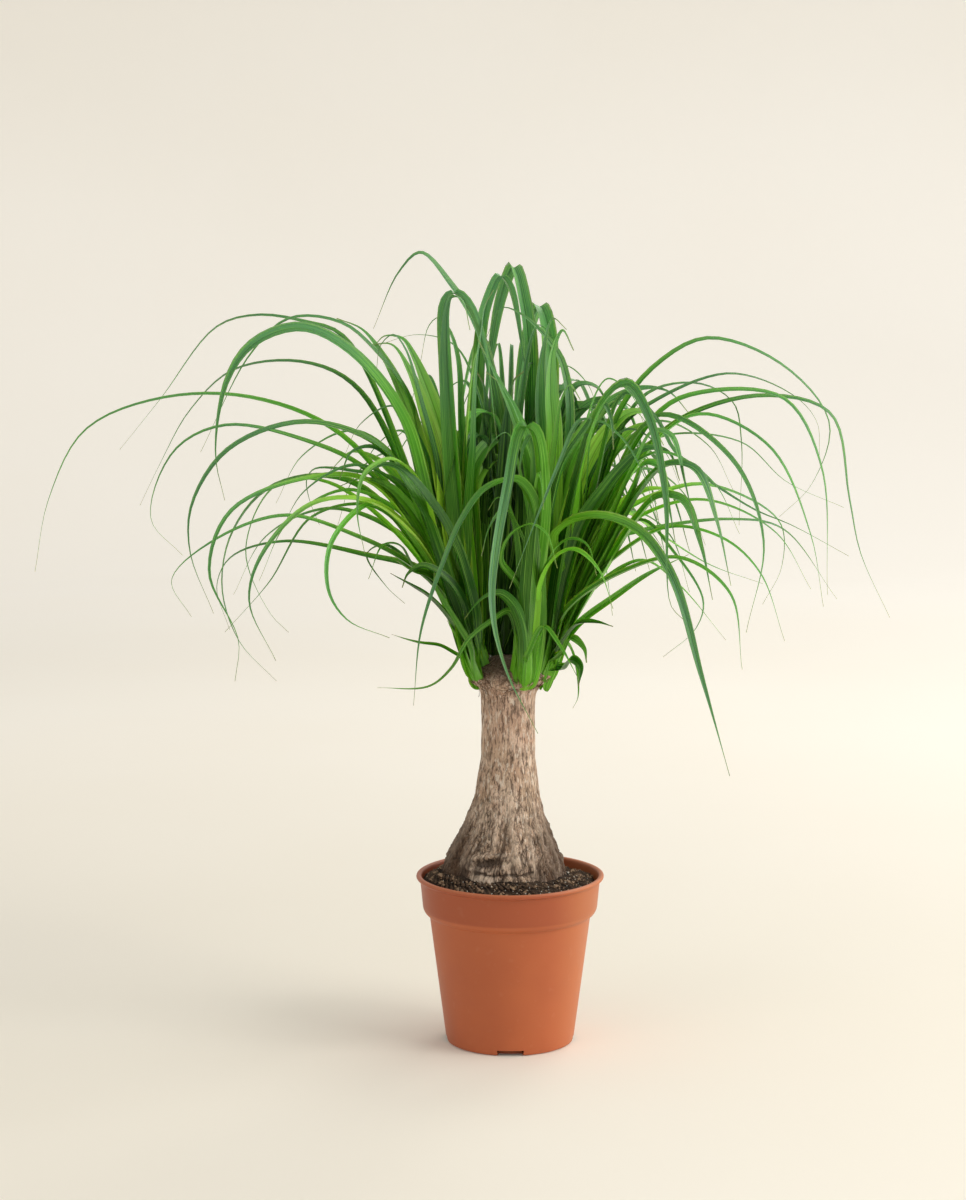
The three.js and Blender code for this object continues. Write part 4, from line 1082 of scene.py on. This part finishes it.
# %% Broad leaves of the front heart
FRONT_HEARTS = [
    (16, (35, 20), 0.3, 0.35, [[14, -54, 385], [16, -56, 421], [19, -57, 456], [22, -59, 491], [23, -60, 522],
     [21, -62, 546], [17, -62, 556], [11, -63, 547], [6, -64, 518]]),
    (15, (-40, -40), 0.45, 0.5, [[17, -30, 381], [19, -29, 417], [20, -27, 452], [18, -26, 496],
     [13, -24, 536], [4, -23, 567], [-7, -22, 593], [-18, -21, 615], [-29, -20, 637]]),
    (13, (-50, -50), 0.2, 0.5, [[20, -36, 391], [24, -34, 427], [26, -33, 462], [26, -31, 497],
     [20, -30, 532], [11, -29, 560], [1, -28, 583], [-11, -27, 600], [-22, -26, 609]]),
    (14, (50, 40), 0.6, 0.7, [[15, -40, 392], [19, -41, 427], [25, -41, 463], [32, -42, 498], [37, -42, 532],
     [40, -43, 560], [44, -43, 586], [51, -44, 599], [60, -44, 586]]),
    (13, (0, 0), 0.3, 0.3, [[10, -40, 383], [7, -43, 419], [5, -45, 455], [1, -47, 481], [-5, -49, 499],
     [-12, -49, 501], [-20, -50, 490]]),
    (13, (50, 40), 0.15, 0.1, [[11, -56, 376], [8, -58, 394], [1, -60, 409], [-10, -61, 418], [-22, -63, 416],
     [-32, -64, 408], [-41, -66, 396]]),
]
print(len(FRONT_HEARTS), "broad leaves")

# %% Broad leaves of the back heart
BACK_HEARTS = [
    (18, (60, 40), 0.1, 0.1, [[-18, 30, 352], [-21, 32, 399], [-23, 35, 444], [-24, 37, 490], [-22, 39, 535],
     [-18, 41, 579], [-20, 43, 613], [-27, 44, 631]]),
    (18, (-60, -40), 0.1, 0.1, [[-24, 24, 353], [-27, 26, 391], [-30, 29, 436], [-29, 32, 481],
     [-25, 35, 526], [-22, 37, 562], [-24, 39, 593], [-31, 40, 606]]),
    (17, (70, 50), 0.15, 0.2, [[-12, 22, 353], [-12, 25, 400], [-11, 28, 445], [-7, 32, 490], [-4, 35, 535],
     [-2, 37, 571], [3, 39, 597], [12, 40, 605]]),
    (16, (-70, -50), 0.1, 0.0, [[-27, 20, 353], [-34, 22, 382], [-40, 24, 414], [-42, 26, 450],
     [-38, 29, 486], [-33, 31, 517], [-31, 33, 544], [-36, 34, 562]]),
    (16, (70, 50), 0.1, 0.0, [[-9, 20, 353], [-3, 22, 382], [3, 24, 414], [9, 27, 450], [11, 29, 486],
     [11, 31, 517], [14, 33, 544], [21, 34, 553]]),
]
print(len(BACK_HEARTS), "broad leaves")

# %% [markdown]
# ## The leaves that follow a rule
# Leaves grow from the middle of a shoot, so the youngest stand up and the oldest lean out. Three rules use
# that: one for the arching leaves that the CAD has too, one for the broad leaves of the heart, and one for
# the short old ones that curl over the collar. Golden steps spread them, as they do on the plant.

# %% The shoots
# Foot and head of each green core, its listed leaves, and the rule of its filling leaves: how many the CAD
# has, the side they face and how far round they spread in degrees, how far out they reach, how high they go
# and how far their tips drop. Then the rule of its heart leaves: how many, the side they face, and the
# heights of the first and last. Last come its listed heart leaves and the number of its curls.
SHOOTS = {
    "shoot_left": ([-28, -5, 329], [-63, -9, 470], LEFT_LEAVES,
                   (8, 166, 44, (60, 230), (610, 470), (40, 120)), (5, 120, 610, 520), LEFT_HEARTS, 0),
    "shoot_right": ([27, 1, 327], [58, -6, 465], RIGHT_LEAVES,
                   (9, 16, 44, (60, 230), (610, 470), (40, 120)), (4, 50, 600, 510), RIGHT_HEARTS, 1),
    "shoot_front": ([11, -23, 327], [24, -46, 470], FRONT_LEAVES,
                   (4, -95, 50, (30, 130), (570, 470), (20, 60)), (0, -20, 590, 560), FRONT_HEARTS, 0),
    "shoot_back": ([-4, 23, 333], [0, 48, 480], BACK_LEAVES,
                   (16, 90, 46, (50, 290), (650, 480), (40, 120)), (13, 90, 625, 500), BACK_HEARTS, 1),
}
# The core's radius by the share of its length.
CORE_SHARE = [0, 0.03, 0.12, 0.35, 0.62, 0.85, 1]
CORE_RADIUS = [6, 9.5, 12.5, 15, 13.5, 9, 3]
print("leaves by the rules:", sum(shoot[3][0] + shoot[4][0] + shoot[6] for shoot in SHOOTS.values()))


# %% Filling, heart and curled leaves
def filling_leaf(foot, head, rule, k):
    """Young leaves stand up in the middle, and the older a leaf, the lower and the further it reaches."""
    count, faces, spread, reach, over, drops = rule
    age = (k + 0.5) / count
    heading = np.radians(faces + spread * (2 * draw(k, 0) - 1))
    far = (reach[0] + (reach[1] - reach[0]) * age**0.8) * (0.8 + 0.3 * draw(k, 1))
    high = over[0] + (over[1] - over[0]) * age - 25 + 50 * draw(k, 2)
    middle = foot + 0.6 * (head - foot)
    drop = (drops[0] + (drops[1] - drops[0]) * age) * (0.7 + 0.5 * draw(k, 3))
    way = np.array([np.cos(heading), np.sin(heading)])
    heights = [middle[2] + 0.72 * (high - middle[2]), high, high - 0.35 * drop, high - drop]
    places = [[*(middle[:2] + share * far * way), z] for share, z in zip([0.25, 0.55, 0.85, 1], heights)]
    return 13 - 5 * draw(k, 4), places


def heart_leaf(foot, head, heart, k):
    """Broad straight leaves round the core, a golden step apart. The older they are and the more they look to
    the shoot's own side, the more they lean out. At the top they fold over, and their ends fall."""
    count, faces, highest, lowest = heart
    unit = (head - foot) / np.linalg.norm(head - foot)
    age = (k + 0.5) / count
    heading = np.radians(faces + 210 * (draw(k, 20) - 0.5))
    way = np.array([np.cos(heading), np.sin(heading), 0])
    own_side = (1 + np.cos(heading - np.radians(faces))) / 2
    lean = np.tan(np.radians(2 + 24 * age * own_side + 7 * draw(k, 21)))
    tall = highest + (lowest - highest) * age - 30 * draw(k, 22) - foot[2]
    over = (35 + 85 * draw(k, 23)) * (0.4 + 0.6 * own_side)
    fall = (0.22 + 0.4 * draw(k, 24)) * tall * (0.5 + 0.5 * own_side)
    heights = np.array([0.3, 0.6, 0.86])[:, None] * tall
    places = foot + unit * heights + way * (8 + lean * heights * np.array([0.5, 0.85, 1])[:, None])
    bend = [(0.35, 0.11 * tall), (0.75, 0.10 * tall), (1.05, -0.3 * fall), (1.25, -fall)]
    bend = [places[-1] + way * over * out + [0, 0, up] for out, up in bend]
    lit = np.sign(way[0]) or 1
    roll = lit * 70 * abs(way[0]) * (0.55 + 0.45 * draw(k, 27))
    return 19 - 5 * draw(k, 25), [*places, *bend], (roll, 0.4 * roll)


def curled_leaf(foot, heart, k):
    """A short old leaf at the shoot's foot: out over the collar, level, and down again in a curl."""
    heading = np.radians(heart[1] + 120 * (draw(k, 31) - 0.5))
    way = np.array([np.cos(heading), np.sin(heading), 0])
    far = 38 + 40 * draw(k, 32)
    rise = 14 + 26 * draw(k, 33)
    bend = [(0.5 * far, rise), (0.8 * far, 0.8 * rise), (far, -6 - 14 * draw(k, 34)), (0.86 * far, -26)]
    return 9 + 3 * draw(k, 35), [foot + way * out + [0, 0, up] for out, up in [(14, 0.5 * rise), *bend]]


foot, head = np.array(SHOOTS["shoot_back"][:2], float)
width, places = filling_leaf(foot, head, SHOOTS["shoot_back"][3], 0)
print("the first filling leaf at the back is", round(float(width), 1), "mm wide")


# %% [markdown]
# ## From places to a blade
# A leaf bends smoothly, so its places are joined by cubic pieces that pass through all of them. Its section,
# a shallow gutter that keeps the real blade stiff, is carried along that line and turns with it, so one
# function makes every leaf from its line, its width and how far its face is rolled.


# %% A leaf's line
LINE_STEPS = 40


def smooth_line(places):
    """Centripetal Catmull-Rom line: cubic pieces whose slopes weigh each gap by the root of its length."""
    p = np.array(places, float)
    p = np.concatenate([[2 * p[0] - p[1]], p, [2 * p[-1] - p[-2]]])
    gap = np.sqrt(np.linalg.norm(np.diff(p, axis=0), axis=1))[:, None]
    d0, d1, d2 = gap[:-2], gap[1:-1], gap[2:]
    a, b, c, d = p[:-3], p[1:-2], p[2:-1], p[3:]
    out_slope = ((b - a) / d0 - (c - a) / (d0 + d1) + (c - b) / d1) * d1
    in_slope = ((c - b) / d1 - (d - b) / (d1 + d2) + (d - c) / d2) * d1
    t = np.linspace(0, 1, LINE_STEPS, endpoint=False)[None, :, None]
    b, c, out_slope, in_slope = (v[:, None] for v in (b, c, out_slope, in_slope))
    line = b + out_slope * t + (3 * (c - b) - 2 * out_slope - in_slope) * t**2
    line = line + (2 * (b - c) + out_slope + in_slope) * t**3
    return np.concatenate([line.reshape(-1, 3), p[-2:-1]])


def leaf_places(foot, head, places, k):
    """A leaf starts low on the core, passes where the CAD leaf leaves it, and goes by its places. A steep
    leaf may start on any side of the core, a golden step on from the last, and a low one on its own side."""
    axis = head - foot
    unit = axis / np.linalg.norm(axis)
    first = np.array(places[0], float)
    out = first - (foot + 0.5 * axis)
    level = np.array([out[0], out[1], 0]) / max(np.hypot(out[0], out[1]), 1e-6)
    steep = np.arctan2(out[2], np.hypot(out[0], out[1])) / (np.pi / 2)
    height = 0.12 + 0.7 * max(steep, 0)
    core = np.interp(height, CORE_SHARE, CORE_RADIUS)
    root = foot + axis * height + level * 0.5 * core
    to_first = first - root
    leave = root + 0.36 * (0.6 * to_first + 0.4 * np.linalg.norm(to_first) * unit)
    turn = 2 * np.pi * GOLDEN * k
    level = level * (1.2 - max(steep, 0)) + np.array([np.cos(turn), np.sin(turn), 0]) * max(steep, 0)
    level = level / np.linalg.norm(level)
    base = foot + level * 3
    heel = foot + axis * 0.12 + level * 7.5
    half_way = foot + axis * max(0.55 * height, 0.22) + level * 9
    return [base, heel, half_way, leave, *places]


print("that leaf's line has", len(smooth_line(leaf_places(foot, head, places, 0))), "points")


# %% A leaf's skin
STATIONS = 56
BLADE_THICK = 0.42
TIP_HALF = 0.28
GUTTER = np.array([1, 0.6, 0.16, 0, -0.16, -0.6, -1])
RING = len(GUTTER) * 2 - 2
BASE_STATIONS = [0, 0.4, 1.5, 3.2, 5.5, 8.5]


def leaf_skin(places, width, roll, k, loss, bow):
    """A thin gutter along the line. Across points level and is rolled, and up is along x across. A section is
    its half width times across and a rise of its edges times up, less its thickness on the lower face."""
    line = smooth_line(places)
    step = np.diff(line, axis=0)
    length = np.linalg.norm(step, axis=1)
    way = step / np.maximum(length, 1e-9)[:, None]
    bend = np.append(np.arccos(np.clip(np.einsum("ij,ij->i", way[1:], way[:-1]), -1, 1)), 0)
    # A turn of one radian counts as 16 mm of way, so the sections lie closer in a bend.
    travelled = np.append(0, np.cumsum(length))
    weight = np.append(0, np.cumsum(length + 16 * bend))
    later = np.linspace(np.interp(13, travelled, weight), weight[-1], STATIONS - len(BASE_STATIONS))
    at = np.append(BASE_STATIONS, np.interp(later, weight, travelled))
    points = np.stack([np.interp(at, travelled, line[:, i]) for i in range(3)], -1)
    t = at / travelled[-1]
    along = np.gradient(points, axis=0)
    along /= np.linalg.norm(along, axis=1)[:, None]

    flat = places[-1] - places[0]
    heading = np.array([flat[0], flat[1], 0]) / np.hypot(flat[0], flat[1])
    level = np.cross([0, 0, 1], heading)
    across = level - (along @ level)[:, None] * along
    across /= np.linalg.norm(across, axis=1)[:, None]
    lit = np.sign(heading[0]) or 1
    near, far = roll if roll else (lit * 55, lit * 15)
    sway = 7 * np.sin(5 * t + 6.28 * draw(k, 9)) * ramp01(t, 0.2, 0.5)
    turn = np.radians((near + (far - near) * t) * np.minimum(t / 0.2, 1) + sway)[:, None]
    across = across * np.cos(turn) + np.cross(along, across) * np.sin(turn)
    up = np.cross(along, across)

    round_base = np.sqrt(1 - (1 - np.clip(at / 11, 0, 1)) ** 2) * (0.7 + 0.3 * ramp01(at, 30, 130))
    half = 0.56 * width * (1 - loss * t**bow) * round_base
    half = np.maximum(half * (1 - 0.85 * ramp01(t, 0.72, 1)), TIP_HALF)
    fold = 0.85 - 0.4 * ramp01(t, 0.3, 0.8)
    thick = np.minimum(BLADE_THICK, 0.5 * half)
    rise = np.abs(GUTTER)
    upper = points[:, None] + across[:, None] * (half[:, None] * GUTTER)[..., None]
    upper = upper + up[:, None] * ((fold * half)[:, None] * (rise - 0.4))[..., None]
    body = (1 - GUTTER[1:-1] ** 2) * 0.7 + 0.3
    lower = upper[:, 1:-1] - up[:, None] * (thick[:, None] * body)[..., None]
    skin = np.concatenate([upper, lower[:, ::-1]], 1)
    side = np.concatenate([GUTTER, GUTTER[1:-1][::-1]])
    return skin, np.repeat(at, RING), np.repeat(t, RING), np.tile(side, STATIONS)


print("a leaf has", STATIONS, "sections of", RING, "points")


# %% [markdown]
# ## Growing a shoot
# The leaves of a shoot are joined into one mesh with its core and the short pale sheaths round its foot.
# Each point keeps how far it is from the leaf's base, its place along and across the leaf, and how young
# the leaf is, because young leaves in the heart are lime green and old ones are deep green, with painted shade
# near their bases.


# %% Cores, sheaths and first steps
def core_skin(foot, head):
    """The core: circles across the axis, with the CAD core's radius and shallow upright ribs."""
    axis = head - foot
    unit = axis / np.linalg.norm(axis)
    right = np.array([1, 0, 0]) - unit[0] * unit
    right /= np.linalg.norm(right)
    back = np.cross(unit, right)
    share = np.linspace(0, 1, 30)
    angle = np.linspace(0, 2 * np.pi, RING * 3, endpoint=False)
    radius = np.interp(share, CORE_SHARE, CORE_RADIUS)[:, None] * (1 + 0.06 * np.cos(9 * angle))[None] * 0.72
    around = np.cos(angle)[:, None] * right + np.sin(angle)[:, None] * back
    return foot + share[:, None, None] * axis + radius[..., None] * around


SHEATHS = 5


def sheath_places(foot, head, k):
    """A broad scale round the shoot's foot: a lobe that bulges out over the collar and then stands up."""
    axis = head - foot
    turn = 2 * np.pi * (k + 0.4 * draw(k, 2)) / SHEATHS
    level = np.array([np.cos(turn), np.sin(turn), 0])
    tall = 0.25 + 0.25 * draw(k, 3)
    shares = np.array([0.03, 0.07, 0.12, 0.19, 0.6 * tall + 0.1, tall + 0.12])[:, None]
    out = np.array([5, 9.5, 11, 11, 11.5, 15 + 8 * draw(k, 4)])[:, None]
    return list(foot + shares * axis + out * level)


def rooted(foot, places, *steps):
    """A leaf's places after first steps, each a share of the way out from the foot and a height above it."""
    out = (np.array(places[0]) - foot) * [1, 1, 0]
    return [foot + out * share + [0, 0, up] for share, up in steps] + [*places]


print("the core at the back has", len(closed_tube(core_skin(foot, head))[0]), "points")


# %% Whole shoots
CORE_MARKS = {"reach": 20, "t": 0.1, "side": 0, "young": 0.7, "tone": 0.5}


def leaf_list(foot, head, leaves, rule, heart, broad, curls):
    """Every leaf of a shoot: its width, places, roll, how young it is, how fast it loses its base's tint, how
    much of its width it loses and how late, and its tone where it has one of its own."""
    for k, (width, places, *more) in enumerate(leaves):
        tone = more[1:]
        length = np.linalg.norm(np.diff(places, axis=0), axis=1).sum()
        slim = (0.86, 1.3 if width > 16 else 0.9) if length > 85 else (0.5, 2)
        young = 0.3 if tone else (0.1 + 0.6 * draw(k, 12)) * (0.35 if places[0][2] < 450 else 1)
        line = leaf_places(foot, head, places, k)
        yield width * 1.1, line, more[0] if more else None, young, 1, *slim, *tone
    for k in range(rule[0]):
        width, places = filling_leaf(foot, head, rule, k)
        yield width, leaf_places(foot, head, places, k + 7), None, 0.2 + 0.3 * draw(k, 14), 1, 0.86, 0.9
    for width, roll, young, tone, places in broad:
        yield width * 1.1, rooted(foot, places, (0.3, 4), (0.55, 18)), roll, young, 1, 0.64, 1.8, tone
    for k in range(heart[0]):
        width, places, roll = heart_leaf(foot, head, heart, k)
        yield width, rooted(foot, places, (0.2, -6), (0.45, 14)), roll, 0.6 * draw(k, 26), 1, 0.72, 1.5
    for k in range(curls):
        width, places = curled_leaf(foot, heart, k)
        yield width, [foot - [0, 0, 5], *places], None, 0.2, 1.3, 0.8, 1.2
    for k in range(SHEATHS):
        yield 17, sheath_places(foot, head, k), (0, 0), 0.45, 1, 0.8, 1.2


def grow_shoot(name):
    """All the leaves, sheaths and the core of one shoot as one mesh, with the marks that its finish reads."""
    foot, head, *rules = SHOOTS[name]
    foot, head = np.array(foot, float), np.array(head, float)
    parts = [closed_tube(core_skin(foot, head))]
    marks = {key: [np.full(len(parts[0][0]), value)] for key, value in CORE_MARKS.items()}
    for k, (width, places, roll, young, hurry, loss, bow, *tone) in enumerate(leaf_list(foot, head, *rules)):
        skin, at, t, side = leaf_skin(places, width, roll, k, loss, bow)
        parts.append(closed_tube(skin))
        for key, values in {"reach": at * hurry, "t": t, "side": side}.items():
            marks[key].append(np.append(values, [values[0], values[-1]]))
        count = len(parts[-1][0])
        marks["young"].append(np.full(count, np.clip(young + 0.3 * (draw(k, 6) - 0.5), 0, 1)))
        marks["tone"].append(np.full(count, tone[0] if tone else draw(k, 8)))
    marks = {key: np.concatenate(values) for key, values in marks.items()}
    marks["behind"] = np.full(len(marks["t"]), float(name == "shoot_back"))
    return new_piece(name.replace("shoot", "leaves"), *joined(parts), marks, sharp=28)


shoots = {name: grow_shoot(name) for name in SHOOTS}

# %% [markdown]
# ## The leaves' finish
# A strap leaf is lime at its base, deep green along its arch and dry tan at its thread of a tip. Fine
# parallel veins run along it, partly painted as highlights. A painted grey sheen lies on its arch, where its
# waxy face turns to the light, and painted shade darkens the leaves low in the crown.

# %% Waxy strap leaf
waxy, tree, shader = new_finish("strap_leaf", 0.40, 0.24)
reach, t, side = mark(tree, "reach"), mark(tree, "t"), mark(tree, "side")
young, tone = mark(tree, "young"), mark(tree, "tone")
# The veins' noise is narrow across the leaf and long along it, and each leaf has its own.
scales = [(side, 16.0), (reach, 0.012), (tone, 40.0)]
lane = [reckon(tree, "MULTIPLY", value, scale) for value, scale in scales]
veins = noise(tree, add(tree, "ShaderNodeCombineXYZ", dict(enumerate(lane))).outputs[0], 1.0, 2.5)
deep = mix(tree, reckon(tree, "POWER", tone, 1.8), colour("124c04"), colour("68c81e"))
fresh = mix(tree, tone, colour("5cba18"), colour("a2ea3c"))
tint = mix(tree, reckon(tree, "MULTIPLY", between(tree, reach, 330.0, 170.0), young), deep, fresh)
# The heart's young leaves are lime. Their pale lime is partly painted light, standing in for light shining
# through the blades.
heart = reckon(tree, "MULTIPLY", between(tree, reach, 370.0, 220.0), between(tree, young, 0.45, 0.75))
tint = mix(tree, heart, tint, colour("b2ee40"))
tint = stain(tree, tint, "62ad20", reach, 50.0, 8.0, 0.75)
# Painted shade: the back shoot's leaves are darkened low down, and old leaves are darkened near their
# bases, where the crown shades them.
shade = reckon(tree, "MULTIPLY", between(tree, reach, 340.0, 200.0, 0.0, 0.85), mark(tree, "behind"))
tint = mix(tree, shade, tint, colour("071c03"))
painted_base_shade = reckon(tree, "MULTIPLY", between(tree, young, 0.5, 0.2), between(tree, reach, 240.0, 140.0))
painted_base_shade = reckon(tree, "MULTIPLY", painted_base_shade, between(tree, reach, 20.0, 60.0, 0.0, 0.6))
tint = mix(tree, painted_base_shade, tint, colour("123a0a"))
# Painted sheen: the arch is greyed where its waxy face turns to the light.
painted_sheen = reckon(tree, "MULTIPLY", between(tree, reach, 150.0, 330.0), between(tree, t, 0.38, 0.68, 0.05, 0.72))
tint = mix(tree, painted_sheen, tint, colour("62906c"))
# The pale veins are partly the blade's own stripes and partly painted highlights.
tint = stain(tree, tint, "a6e45a", veins, 0.5, 0.66, 0.42)
tint = stain(tree, tint, "0e3006", veins, 0.48, 0.32, 0.5)
tint = stain(tree, tint, "123808", reckon(tree, "ABSOLUTE", side), 0.16, 0.0, 0.35)
tint = stain(tree, tint, "8f8152", t, 0.93, 0.99, 0.5)
tree.links.new(tint, shader.inputs["Base Color"])
tree.links.new(between(tree, veins, 0.3, 0.7, 0.26, 0.40), shader.inputs["Roughness"])
# A blade is so thin that the light on its far side shines through it.
shader.inputs["Subsurface Weight"].default_value = 0.2
shader.inputs["Subsurface Radius"].default_value = (0.5, 1.0, 0.15)
shader.inputs["Subsurface Scale"].default_value = 0.002
roughen(tree, shader, veins, 0.35, 0.0004)

for name, piece in shoots.items():
    wear(piece, waxy)
    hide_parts(name)
    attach(piece, "root")

# %% Sizes and the end
VISUAL_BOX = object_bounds()
sizes = {"cad": [list(map(float, corner)) for corner in CAD_BOX], "visual": [list(map(float, corner)) for corner in VISUAL_BOX]}
print("visual box in metres:", VISUAL_BOX)
